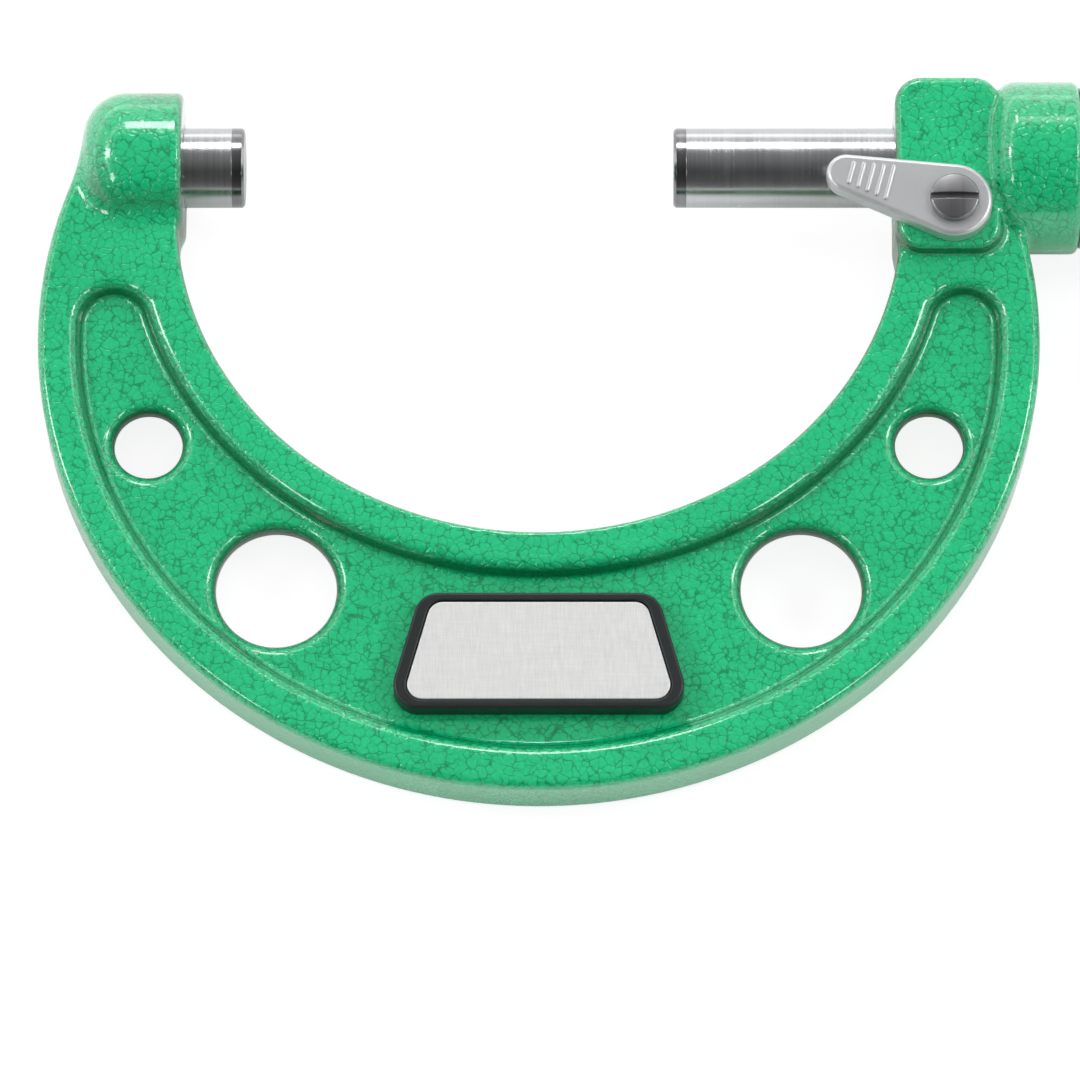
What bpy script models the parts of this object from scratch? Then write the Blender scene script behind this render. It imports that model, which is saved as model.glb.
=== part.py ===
"""Outside micrometer, 25 to 50 mm, with a ratchet stop and a spindle lock.

The origin is the centre of the anvil's measuring face. +X runs from the anvil along the spindle,
+Y points out of the open mouth of the frame, and +Z is the frame's front, which carries the plate.
All lengths are in metres, all angles in degrees unless a name says otherwise.
"""
import math

import bmesh
import bpy

# Measuring range and the reading that the instrument is left at
RANGE_START = 0.025
RANGE_LENGTH = 0.025
READING = 0.035

# Clearances between pieces
RUNNING_GAP = 0.00003
PRESS_GAP = 0.00002
SEAT_GAP = 0.00005
THIMBLE_GAP = 0.00015

# Spindle and anvil
SPINDLE_RADIUS = 0.00325
TIP_THICKNESS = 0.0010
THREAD_STEP = 0.00025
NECK_STEP = 0.00045
NECK_LENGTH = 0.0005
CONE_LENGTH = 0.0050
CONE_DROP = 0.0006
TAPPED_RADIUS = 0.0020
TAPPED_DEPTH = 0.0080
EDGE_CHAMFER = 0.0002
ANVIL_PROUD = 0.00538
ANVIL_DEPTH = 0.0068

# Frame plan, seen from the front
SPINDLE_PROUD_OPEN = 0.00338
THROAT_CENTRE_Y = -0.00484
THROAT_REACH = 0.02731
ARM_WIDTH = 0.01112
BACK_WIDTH = 0.02141
OUTER_CENTRE_Y = -0.01529
PLATE_TOP_Y = 0.0022

# Frame section
FRAME_THICKNESS = 0.0060
EDGE_ROUND = 0.0008
POCKET_DEPTH = 0.00165
POCKET_FILLET = 0.0010
RIM_OUTER_SIDE = 0.0024
RIM_OUTER_BACK = 0.0030
RIM_INNER_SIDE = 0.00282
RIM_INNER_BACK = 0.00247
POCKET_END_Y = -0.0142

# Through holes in the web
LARGE_HOLE_RADIUS = 0.00482
LARGE_HOLE_ANGLE = 51.6
SMALL_HOLE_RADIUS = 0.00271
SMALL_HOLE_ANGLE = 24.65
HOLE_SHARE = 0.535
HOLE_RAY_Y = -0.0100

# Anvil boss, lock pad and sleeve boss
ANVIL_BOSS_WALL = 0.0029
ANVIL_BOSS_END = 0.0010
ANVIL_BOSS_DOME = 0.0036
HEAD_FACE_PROUD = 0.0004
LOCK_PAD_LENGTH = 0.0086
LOCK_PAD_WALL = 0.0012
LOCK_PAD_BELOW = 0.0086
LOCK_PAD_ABOVE = 0.0064
LOCK_PAD_CORNER = 0.0022
PAD_ROUND = 0.0007
SLEEVE_BOSS_WALL = 0.0015
SLEEVE_BOSS_CONE = 0.0012
BOSS_SPACE = 0.0002
SEAT_BEHIND_BOSS = 0.0006
BOSS_ROUND = 0.0006

# Bezel and plate
BEZEL_HALF_WIDTH = 0.01222
BEZEL_HEIGHT = 0.00964
BEZEL_SIDE_LEAN = 15.9
BEZEL_CORNER = 0.0020
BEZEL_THICKNESS = 0.0020
BEZEL_EDGE_ROUND = 0.00025
BEZEL_RAISE = 0.00036
BEZEL_BORDER_ENDS = 0.00070
BEZEL_BORDER_SIDES = 0.00105
PLATE_THICKNESS = 0.0005
PLATE_SUNK = 0.0001

# Sleeves and adjusting nut
SLEEVE_SEAT_LENGTH = 0.0065
INNER_SLEEVE_WALL = 0.0020
RELIEF_STEP = 0.0003
NUT_THREAD_LENGTH = 0.0135
NUT_TAPER = 0.0003
NUT_STEP = 0.0003
SLOT_WIDTH = 0.0008
SLOT_COUNT = 3
OUTER_SLEEVE_WALL = 0.0010
SLEEVE_BLANK = 0.0065
SLEEVE_BEYOND_SCALE = 0.0015
SPANNER_HOLE_RADIUS = 0.0006
SPANNER_HOLE_OFFSET = 0.0018
ADJUSTING_NUT_SPACE = 0.0010
ADJUSTING_NUT_LENGTH = 0.0065
ADJUSTING_NUT_WALL = 0.0009
NUT_END_BEYOND = 0.0030
GUIDE_SPACE = 0.0001
END_WALL_SPACE = 0.0005

# Thimble
THIMBLE_WALL = 0.00185
THIMBLE_LIP = 0.00012
BEVEL_LENGTH = 0.0060
GRIP_START = 0.0125
GRIP_LENGTH = 0.0200
GRIP_GROOVE_WIDTH = 0.0008
GRIP_GROOVE_DEPTH = 0.0003
SHOULDER_LENGTH = 0.0050
SHOULDER_WALL = 0.0019
COUNTERBORE_DEPTH = 0.0026

# Ratchet stop
FLANGE_RADIUS = 0.0042
POST_RADIUS = 0.0032
POST_LENGTH = 0.0076
TOOTH_COUNT = 12
TOOTH_DEPTH = 0.0006
TOOTH_ZONE = 0.0039
KNOB_WALL = 0.0011
KNOB_GAP = 0.0003
KNOB_RECESS_DEPTH = 0.0052
WASHER_LAP = 0.00065
WASHER_SPACE = 0.0003
KNOB_CHAMFER = 0.0004
PAWL_OFFSET = 0.0022
PAWL_RADIUS = 0.0009
PAWL_HOLE_DEPTH = 0.0054
PAWL_LENGTH = 0.00252
PAWL_TIP_RADIUS = 0.00013
PAWL_TIP_LENGTH = 0.00075
SPRING_WIRE_RADIUS = 0.00012
SPRING_TURNS = 6
WASHER_THICKNESS = 0.0006
END_SCREW_RADIUS = 0.0010
END_SCREW_DEPTH = 0.0032
END_SCREW_HEAD_RADIUS = 0.0023
END_SCREW_HEAD = 0.0014
DRIVER_SLOT_WIDTH = 0.0005
DRIVER_SLOT_DEPTH = 0.0005

# Spindle lock
LOCK_OFFSET = 0.0042
LOCK_SHAFT_RADIUS = 0.0019
CAM_RADIUS = 0.0014
CAM_THROW = 0.0003
CAM_HALF_LENGTH = 0.0022
CAM_NECK_RADIUS = 0.0010
LOCK_SWING = 70.0
LEVER_REST_ANGLE = 165.0
LEVER_THICKNESS = 0.0016
LEVER_HUB_RADIUS = 0.0031
LEVER_END_RADIUS = 0.0016
LEVER_LENGTH = 0.0090
LEVER_SPACE = 0.0001
LEVER_BORE_RADIUS = 0.0015
LOCK_SCREW_RADIUS = 0.0009
LOCK_SCREW_DEPTH = 0.0030
LOCK_SCREW_HEAD_RADIUS = 0.0020
LOCK_SCREW_HEAD = 0.0009
LOCK_WASHER_THICKNESS = 0.0004
LOCK_WASHER_RADIUS = 0.0032
CLIP_THICKNESS = 0.0004
CLIP_GROOVE_RADIUS = 0.0014
CLIP_RADIUS = 0.0029
CLIP_MOUTH = 70.0
SHAFT_BEYOND_CLIP = 0.0006

# Fineness of round shapes
ROUND_STEPS = 40
SMALL_STEPS = 24
ARC_STEPS = 4
EDGE_RUN_STEPS = 30
THROAT_RUN_STEPS = 24
POCKET_END_STEPS = 8

# Radii that follow from the spindle outwards
GUIDE_RADIUS = SPINDLE_RADIUS + RUNNING_GAP
THREAD_RADIUS = SPINDLE_RADIUS + THREAD_STEP
NUT_RADIUS = THREAD_RADIUS + SEAT_GAP
RELIEF_RADIUS = NUT_RADIUS + RELIEF_STEP
INNER_SLEEVE_RADIUS = NUT_RADIUS + INNER_SLEEVE_WALL
OUTER_SLEEVE_BORE = INNER_SLEEVE_RADIUS + PRESS_GAP
OUTER_SLEEVE_RADIUS = OUTER_SLEEVE_BORE + OUTER_SLEEVE_WALL
THIMBLE_BORE = OUTER_SLEEVE_RADIUS + THIMBLE_GAP
THIMBLE_RADIUS = THIMBLE_BORE + THIMBLE_WALL
SLEEVE_BOSS_RADIUS = INNER_SLEEVE_RADIUS + SLEEVE_BOSS_WALL
ANVIL_BOSS_RADIUS = SPINDLE_RADIUS + ANVIL_BOSS_WALL
FRAME_BORE_RADIUS = GUIDE_RADIUS + PRESS_GAP
CONE_LARGE_RADIUS = THREAD_RADIUS - 2 * SEAT_GAP
CONE_SMALL_RADIUS = CONE_LARGE_RADIUS - CONE_DROP
SHOULDER_RADIUS = FLANGE_RADIUS + SHOULDER_WALL
KNOB_BORE = POST_RADIUS + SEAT_GAP
TOOTH_TIP_RADIUS = KNOB_BORE + SEAT_GAP
TOOTH_ROOT_RADIUS = TOOTH_TIP_RADIUS + TOOTH_DEPTH
KNOB_RADIUS = TOOTH_ROOT_RADIUS + KNOB_WALL
WASHER_RADIUS = KNOB_BORE + WASHER_LAP
KNOB_RECESS_RADIUS = WASHER_RADIUS + WASHER_SPACE
PAWL_TOP = TOOTH_ROOT_RADIUS - 3 * SEAT_GAP
PAWL_HOLE_BOTTOM = POST_RADIUS - PAWL_HOLE_DEPTH

# Places along the measuring line
RANGE_END = RANGE_START + RANGE_LENGTH
THROAT_HALF_SPAN = (ANVIL_PROUD + RANGE_END + SPINDLE_PROUD_OPEN) / 2
MIDDLE_X = THROAT_HALF_SPAN - ANVIL_PROUD
RIGHT_FACE_X = MIDDLE_X + THROAT_HALF_SPAN
LOCK_X = RIGHT_FACE_X + LOCK_OFFSET
BOSS_START_X = LOCK_X + LEVER_HUB_RADIUS + BOSS_SPACE
SLEEVE_SEAT_X = BOSS_START_X + SEAT_BEHIND_BOSS
BOSS_END_X = SLEEVE_SEAT_X + SLEEVE_SEAT_LENGTH
SCALE_START_X = BOSS_END_X + SLEEVE_BLANK
OUTER_SLEEVE_END_X = SCALE_START_X + RANGE_LENGTH + SLEEVE_BEYOND_SCALE
ADJUSTING_NUT_X = OUTER_SLEEVE_END_X + ADJUSTING_NUT_SPACE
INNER_SLEEVE_END_X = ADJUSTING_NUT_X + ADJUSTING_NUT_LENGTH + NUT_END_BEYOND
NUT_THREAD_X = INNER_SLEEVE_END_X - NUT_THREAD_LENGTH

# Places along the spindle, counted from its measuring face
THREAD_START = NUT_THREAD_X - RANGE_END
THREAD_END = INNER_SLEEVE_END_X - RANGE_START
GUIDE_END_X = RANGE_START + THREAD_START - GUIDE_SPACE
THIMBLE_EDGE = SCALE_START_X - RANGE_START
END_WALL = THREAD_END + END_WALL_SPACE
CONE_START = END_WALL
CONE_END = CONE_START + CONE_LENGTH
FLANGE_FACE = CONE_END + SEAT_GAP
THIMBLE_END = FLANGE_FACE + COUNTERBORE_DEPTH
KNOB_START = THIMBLE_END + KNOB_GAP
POST_END = THIMBLE_END + POST_LENGTH
WASHER_FACE = POST_END + SEAT_GAP
SCREW_HEAD_FACE = WASHER_FACE + WASHER_THICKNESS + SEAT_GAP
KNOB_END = POST_END - SEAT_GAP + KNOB_RECESS_DEPTH
PAWL_STATION = THIMBLE_END + PAWL_OFFSET

# Heights in the frame's thickness
HALF_THICKNESS = FRAME_THICKNESS / 2
WEB_TOP = HALF_THICKNESS - POCKET_DEPTH
PAD_TOP = GUIDE_RADIUS + LOCK_PAD_WALL
LEVER_BOTTOM = PAD_TOP + LEVER_SPACE
LEVER_TOP = LEVER_BOTTOM + LEVER_THICKNESS
LOCK_Y = -(SPINDLE_RADIUS + CAM_RADIUS + CAM_THROW + RUNNING_GAP)
WASHER_TOP = -PAD_TOP - SEAT_GAP
GROOVE_TOP = WASHER_TOP - LOCK_WASHER_THICKNESS - SEAT_GAP
GROOVE_BOTTOM = GROOVE_TOP - CLIP_THICKNESS - 2 * SEAT_GAP

# Frame outlines: two ellipses for the edges and two for the pocket
OUTER_HALF_SPAN = THROAT_HALF_SPAN + ARM_WIDTH
OUTER_REACH = OUTER_CENTRE_Y - THROAT_CENTRE_Y + THROAT_REACH + BACK_WIDTH
THROAT = (THROAT_HALF_SPAN, THROAT_REACH, THROAT_CENTRE_Y)
OUTSIDE = (OUTER_HALF_SPAN, OUTER_REACH, OUTER_CENTRE_Y)
POCKET_INNER = (THROAT_HALF_SPAN + RIM_INNER_SIDE, THROAT_REACH + RIM_INNER_BACK, THROAT_CENTRE_Y)
POCKET_OUTER = (OUTER_HALF_SPAN - RIM_OUTER_SIDE, OUTER_REACH - RIM_OUTER_BACK, OUTER_CENTRE_Y)


def clear_scene():
    """Remove whatever the file opened with."""
    for leftover in list(bpy.data.objects):
        bpy.data.objects.remove(leftover)


def new_collection(name):
    """Make a collection and hang it on the scene."""
    collection = bpy.data.collections.new(name)
    bpy.context.scene.collection.children.link(collection)
    return collection


def make_material(name, color, roughness, metallic=0.0):
    """Return a Principled material of one colour."""
    material = bpy.data.materials.new(name)
    material.use_nodes = True
    shader = material.node_tree.nodes["Principled BSDF"]
    shader.inputs["Base Color"].default_value = (*color, 1.0)
    shader.inputs["Roughness"].default_value = roughness
    shader.inputs["Metallic"].default_value = metallic
    return material


clear_scene()
PARTS = new_collection("outside_micrometer")
CUTTERS = new_collection("cutters")

GREEN_PAINT = make_material("green_paint", (0.035, 0.50, 0.21), 0.35)
BLACK_PLASTIC = make_material("black_plastic", (0.02, 0.022, 0.024), 0.45)
BRUSHED_PLATE = make_material("brushed_plate", (0.72, 0.73, 0.72), 0.35, 1.0)
SATIN_CHROME = make_material("satin_chrome", (0.62, 0.63, 0.64), 0.38, 1.0)
GROUND_STEEL = make_material("ground_steel", (0.55, 0.56, 0.57), 0.22, 1.0)
DARK_STEEL = make_material("dark_steel", (0.30, 0.30, 0.31), 0.40, 1.0)
CARBIDE = make_material("carbide", (0.22, 0.22, 0.23), 0.18, 1.0)
SPRING_STEEL = make_material("spring_steel", (0.40, 0.40, 0.41), 0.35, 1.0)


def add_object(name, data, material=None, cutter=False):
    """Put mesh or curve data in the scene as a part or as a cutter."""
    thing = bpy.data.objects.new(name, data)
    (CUTTERS if cutter else PARTS).objects.link(thing)
    if cutter:
        thing.hide_render = True
        thing.display_type = "WIRE"
    elif material:
        data.materials.append(material)
    return thing


def lay_along_x(thing, station):
    """Turn a piece made about its own Z so that Z runs along world X, and place it on the axis."""
    thing.rotation_euler = (0.0, math.pi / 2, 0.0)
    thing.location = (station, 0.0, 0.0)


def turned(name, profile, material=None, steps=ROUND_STEPS, cutter=False, hollow=False):
    """Spin a profile of (radius, height) points, outer side from top to bottom, about local Z."""
    mesh = bpy.data.meshes.new(name)
    points = [(radius, 0.0, height) for radius, height in profile]
    edges = [(index, index + 1) for index in range(len(points) - 1)]
    if hollow:
        edges.append((len(points) - 1, 0))
    mesh.from_pydata(points, edges, [])
    thing = add_object(name, mesh, material, cutter)
    screw = thing.modifiers.new("spin", "SCREW")
    screw.axis = "Z"
    screw.angle = math.tau
    screw.steps = steps
    screw.render_steps = steps
    screw.use_merge_vertices = True
    screw.merge_threshold = 0.000001
    screw.use_smooth_shade = True
    return thing


def cylinder(name, radius, bottom, top, steps=SMALL_STEPS, material=None, cutter=False):
    """A plain round bar about local Z from bottom to top."""
    mesh = bpy.data.meshes.new(name)
    form = bmesh.new()
    bmesh.ops.create_cone(form, cap_ends=True, segments=steps, radius1=radius, radius2=radius,
                          depth=top - bottom)
    bmesh.ops.translate(form, vec=(0.0, 0.0, (top + bottom) / 2), verts=form.verts)
    form.to_mesh(mesh)
    form.free()
    return add_object(name, mesh, material, cutter)


def block(name, size, centre, material=None, cutter=False):
    """A box of the given size about the given centre."""
    mesh = bpy.data.meshes.new(name)
    form = bmesh.new()
    bmesh.ops.create_cube(form, size=1.0)
    bmesh.ops.scale(form, vec=size, verts=form.verts)
    bmesh.ops.translate(form, vec=centre, verts=form.verts)
    form.to_mesh(mesh)
    form.free()
    return add_object(name, mesh, material, cutter)


def slab(name, outline, half_thickness, rounding=0.0, material=None, cutter=False, round_steps=1):
    """Extrude a flat outline both ways from local Z = 0, with rounded edges inside the outline."""
    curve = bpy.data.curves.new(name, "CURVE")
    curve.dimensions = "2D"
    curve.fill_mode = "BOTH"
    curve.extrude = half_thickness - rounding
    curve.bevel_depth = rounding
    curve.bevel_resolution = round_steps
    curve.offset = -rounding
    spline = curve.splines.new("POLY")
    spline.points.add(len(outline) - 1)
    for point, (x, y) in zip(spline.points, outline):
        point.co = (x, y, 0.0, 1.0)
    spline.use_cyclic_u = True
    draft = bpy.data.objects.new(name + "_curve", curve)
    bpy.context.scene.collection.objects.link(draft)
    view = bpy.context.evaluated_depsgraph_get()
    mesh = bpy.data.meshes.new_from_object(draft.evaluated_get(view))
    bpy.data.objects.remove(draft)
    form = bmesh.new()
    form.from_mesh(mesh)
    bmesh.ops.remove_doubles(form, verts=form.verts, dist=0.000001)
    form.to_mesh(mesh)
    form.free()
    mesh.name = name
    return add_object(name, mesh, material, cutter)


def combine(thing, other, operation):
    """Join or cut a piece with another."""
    boolean = thing.modifiers.new(other.name, "BOOLEAN")
    boolean.operation = operation
    boolean.solver = "EXACT"
    boolean.object = other


def arc(centre, radius, start, end, steps=ARC_STEPS):
    """Points along an arc between two angles."""
    points = []
    for index in range(steps + 1):
        angle = math.radians(start + (end - start) * index / steps)
        points.append((centre[0] + radius * math.cos(angle), centre[1] + radius * math.sin(angle)))
    return points


def ellipse_point(ellipse, angle):
    """Point of a frame ellipse at an angle below the +X direction, about the frame's middle line."""
    half_span, reach, centre_y = ellipse
    turn = math.radians(angle)
    return (MIDDLE_X + half_span * math.cos(turn), centre_y - reach * math.sin(turn))


def angle_at_height(ellipse, height):
    """Angle at which the right side of a frame ellipse passes a height."""
    return math.degrees(math.asin((ellipse[2] - height) / ellipse[1]))


def ellipse_run(ellipse, start, end, steps):
    """Points of a frame ellipse between two angles."""
    return [ellipse_point(ellipse, start + (end - start) * index / steps) for index in range(steps + 1)]


def ray_length(ellipse, angle):
    """Distance from the hole ray's centre, in the frame's middle, to an ellipse."""
    half_span, reach, centre_y = ellipse
    across = math.cos(math.radians(angle)) / half_span
    down = math.sin(math.radians(angle)) / reach
    offset = (HOLE_RAY_Y - centre_y) / reach
    a = across ** 2 + down ** 2
    b = -2 * offset * down
    c = offset ** 2 - 1
    return (-b + math.sqrt(b ** 2 - 4 * a * c)) / (2 * a)


def web_point(side, angle):
    """Centre of a web hole: between the pocket's two edges, on a ray from the frame's middle."""
    inner = ray_length(POCKET_INNER, angle)
    outer = ray_length(POCKET_OUTER, angle)
    length = inner + (outer - inner) * HOLE_SHARE
    turn = math.radians(angle)
    return (MIDDLE_X + side * length * math.cos(turn), HOLE_RAY_Y - length * math.sin(turn))


def pocket_end():
    """Centre, radius and meeting angle of the round that closes the pocket on the right."""
    outer_x = ellipse_point(POCKET_OUTER, angle_at_height(POCKET_OUTER, POCKET_END_Y))[0]
    start = angle_at_height(POCKET_INNER, POCKET_END_Y)
    trials = [ellipse_point(POCKET_INNER, start - 0.25 * index) for index in range(80)]
    low = 0.0
    high = ARM_WIDTH
    for _ in range(40):
        radius = (low + high) / 2
        centre = (outer_x - radius, POCKET_END_Y)
        nearest = min(math.dist(centre, point) for point in trials)
        if nearest > radius:
            low = radius
        else:
            high = radius
    touch = min(trials, key=lambda point: math.dist(centre, point))
    meeting = math.degrees(math.atan2(touch[1] - centre[1], touch[0] - centre[0]))
    return centre, radius, meeting


def across(points):
    """Points on the other side of the frame's middle line, in the same order."""
    return [(2 * MIDDLE_X - x, y) for x, y in points]


def closed_u(outer, inner):
    """A U shaped outline from the right halves of its outer and inner edges, both run downwards."""
    return outer + across(outer)[-2::-1] + across(inner) + inner[-2::-1]


def frame_outline():
    """The U of the frame, clockwise from the right head's inner corner."""
    top = angle_at_height(OUTSIDE, PLATE_TOP_Y)
    outer = [(RIGHT_FACE_X, PLATE_TOP_Y)] + ellipse_run(OUTSIDE, top, 90.0, EDGE_RUN_STEPS)
    inner = ellipse_run(THROAT, 0.0, 90.0, THROAT_RUN_STEPS)
    return closed_u(outer, inner)


def pocket_outline():
    """The recess on one face of the frame, with round ends."""
    centre, radius, meeting = pocket_end()
    touch_y = centre[1] + radius * math.sin(math.radians(meeting))
    outer_start = angle_at_height(POCKET_OUTER, POCKET_END_Y)
    inner_start = angle_at_height(POCKET_INNER, touch_y)
    end = arc(centre, radius, meeting, 0.0, POCKET_END_STEPS)
    outer = end + ellipse_run(POCKET_OUTER, outer_start, 90.0, EDGE_RUN_STEPS)[1:]
    inner = ellipse_run(POCKET_INNER, inner_start, 90.0, THROAT_RUN_STEPS)[1:]
    return closed_u(outer, inner)


def trapezoid(half_width, height, corner):
    """A plate outline about its own centre, wider at the bottom, with round corners."""
    lean = math.radians(BEZEL_SIDE_LEAN)
    inward = corner * math.tan(lean) + corner / math.cos(lean)
    low = (half_width - inward, corner - height / 2)
    high_x = half_width - (height - corner) * math.tan(lean) - corner / math.cos(lean)
    high = (high_x, height / 2 - corner)
    right = arc(low, corner, -90.0, BEZEL_SIDE_LEAN) + arc(high, corner, BEZEL_SIDE_LEAN, 90.0)
    return right + [(-x, y) for x, y in reversed(right)]


def lever_outline():
    """A round hub and a narrower round end, joined by straight sides, along local +X."""
    side = math.degrees(math.acos((LEVER_HUB_RADIUS - LEVER_END_RADIUS) / LEVER_LENGTH))
    hub = arc((0.0, 0.0), LEVER_HUB_RADIUS, side, 360.0 - side, 24)
    end = arc((LEVER_LENGTH, 0.0), LEVER_END_RADIUS, -side, side, 12)
    return hub + end


def clip_outline():
    """An open ring, with its mouth towards local +X."""
    outer = arc((0.0, 0.0), CLIP_RADIUS, CLIP_MOUTH / 2, 360.0 - CLIP_MOUTH / 2, 24)
    bore = CLIP_GROOVE_RADIUS + SEAT_GAP
    inner = arc((0.0, 0.0), bore, 360.0 - CLIP_MOUTH / 2, CLIP_MOUTH / 2, 20)
    return outer + inner


def ratchet_star(tip_radius, root_radius):
    """The space between the knob's internal teeth: a valley every full step, a tooth between."""
    points = []
    for index in range(2 * TOOTH_COUNT):
        radius = tip_radius if index % 2 else root_radius
        angle = math.pi * index / TOOTH_COUNT
        points.append((radius * math.cos(angle), radius * math.sin(angle)))
    return points


def helix(radius, bottom, top, turns):
    """Points of a coil about local Z."""
    steps = 10 * turns
    points = []
    for index in range(steps + 1):
        share = index / steps
        turn = math.tau * turns * share
        height = bottom + (top - bottom) * share
        points.append((radius * math.cos(turn), radius * math.sin(turn), height))
    return points


def make_frame():
    """One painted iron casting: web, rims, anvil boss, lock pad and sleeve boss."""
    frame = slab("frame", frame_outline(), HALF_THICKNESS, EDGE_ROUND, GREEN_PAINT)

    boss_front = -ANVIL_PROUD + HEAD_FACE_PROUD
    boss_end = -ANVIL_PROUD - ANVIL_DEPTH - ANVIL_BOSS_END
    dome_centre = (ANVIL_BOSS_RADIUS - ANVIL_BOSS_DOME, boss_end + ANVIL_BOSS_DOME)
    dome = arc(dome_centre, ANVIL_BOSS_DOME, 0.0, -90.0)
    lip = arc((ANVIL_BOSS_RADIUS - BOSS_ROUND, boss_front - BOSS_ROUND), BOSS_ROUND, 90.0, 0.0, 3)
    anvil_boss = turned("anvil_boss", [(0.0, boss_front)] + lip + dome + [(0.0, boss_end)],
                        cutter=True)
    lay_along_x(anvil_boss, 0.0)
    combine(frame, anvil_boss, "UNION")

    pad_middle = (RIGHT_FACE_X - HEAD_FACE_PROUD + LOCK_PAD_LENGTH / 2,
                  (LOCK_PAD_ABOVE - LOCK_PAD_BELOW) / 2)
    half_x = LOCK_PAD_LENGTH / 2 - LOCK_PAD_CORNER
    half_y = (LOCK_PAD_ABOVE + LOCK_PAD_BELOW) / 2 - LOCK_PAD_CORNER
    pad_outline = []
    for quarter, (sign_x, sign_y) in enumerate([(1, 1), (-1, 1), (-1, -1), (1, -1)]):
        corner = (pad_middle[0] + sign_x * half_x, pad_middle[1] + sign_y * half_y)
        pad_outline += arc(corner, LOCK_PAD_CORNER, 90.0 * quarter, 90.0 * quarter + 90.0)
    lock_pad = slab("lock_pad", pad_outline, PAD_TOP, PAD_ROUND, cutter=True)
    combine(frame, lock_pad, "UNION")

    crown = arc((SLEEVE_BOSS_RADIUS - BOSS_ROUND, BOSS_END_X - BOSS_ROUND), BOSS_ROUND, 90.0, 0.0, 3)
    sleeve_boss = turned("sleeve_boss", [(0.0, BOSS_END_X)] + crown + [
        (SLEEVE_BOSS_RADIUS, BOSS_START_X + SLEEVE_BOSS_CONE),
        (SLEEVE_BOSS_RADIUS - SLEEVE_BOSS_WALL, BOSS_START_X),
        (0.0, BOSS_START_X)], cutter=True)
    lay_along_x(sleeve_boss, 0.0)
    combine(frame, sleeve_boss, "UNION")

    for side, face in (("front", 1), ("back", -1)):
        pocket = slab("pocket_" + side, pocket_outline(), POCKET_DEPTH, POCKET_FILLET, cutter=True)
        pocket.location = (0.0, 0.0, face * HALF_THICKNESS)
        combine(frame, pocket, "DIFFERENCE")

    for size, radius, angle in (("large", LARGE_HOLE_RADIUS, LARGE_HOLE_ANGLE),
                                ("small", SMALL_HOLE_RADIUS, SMALL_HOLE_ANGLE)):
        for side, sign in (("left", -1), ("right", 1)):
            hole = cylinder(size + "_hole_" + side, radius, -FRAME_THICKNESS, FRAME_THICKNESS,
                            ROUND_STEPS, cutter=True)
            hole.location = (*web_point(sign, angle), 0.0)
            combine(frame, hole, "DIFFERENCE")

    anvil_bore = cylinder("anvil_bore", SPINDLE_RADIUS + PRESS_GAP, -ANVIL_PROUD - ANVIL_DEPTH, 0.0,
                          ROUND_STEPS, cutter=True)
    lay_along_x(anvil_bore, 0.0)
    combine(frame, anvil_bore, "DIFFERENCE")

    spindle_bore = turned("spindle_bore", [
        (0.0, BOSS_END_X + BOSS_ROUND),
        (INNER_SLEEVE_RADIUS + PRESS_GAP, BOSS_END_X + BOSS_ROUND),
        (INNER_SLEEVE_RADIUS + PRESS_GAP, SLEEVE_SEAT_X),
        (FRAME_BORE_RADIUS, SLEEVE_SEAT_X),
        (FRAME_BORE_RADIUS, RIGHT_FACE_X - 2 * HEAD_FACE_PROUD),
        (0.0, RIGHT_FACE_X - 2 * HEAD_FACE_PROUD)], cutter=True)
    lay_along_x(spindle_bore, 0.0)
    combine(frame, spindle_bore, "DIFFERENCE")

    lock_bore = cylinder("lock_bore", LOCK_SHAFT_RADIUS + RUNNING_GAP, -2 * PAD_TOP, 2 * PAD_TOP,
                         ROUND_STEPS, cutter=True)
    lock_bore.location = (LOCK_X, LOCK_Y, 0.0)
    combine(frame, lock_bore, "DIFFERENCE")


def make_anvil():
    """Ground pin pressed into the left boss, with its carbide face at the origin."""
    radius = SPINDLE_RADIUS
    tip = turned("anvil_tip", [(0.0, 0.0), (radius - EDGE_CHAMFER, 0.0), (radius, -EDGE_CHAMFER),
                               (radius, -TIP_THICKNESS), (0.0, -TIP_THICKNESS)], CARBIDE)
    lay_along_x(tip, 0.0)
    back = -ANVIL_PROUD - ANVIL_DEPTH + SEAT_GAP
    anvil = turned("anvil", [(0.0, -TIP_THICKNESS), (radius, -TIP_THICKNESS),
                             (radius, back + EDGE_CHAMFER), (radius - EDGE_CHAMFER, back),
                             (0.0, back)], GROUND_STEEL)
    lay_along_x(anvil, 0.0)


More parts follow.
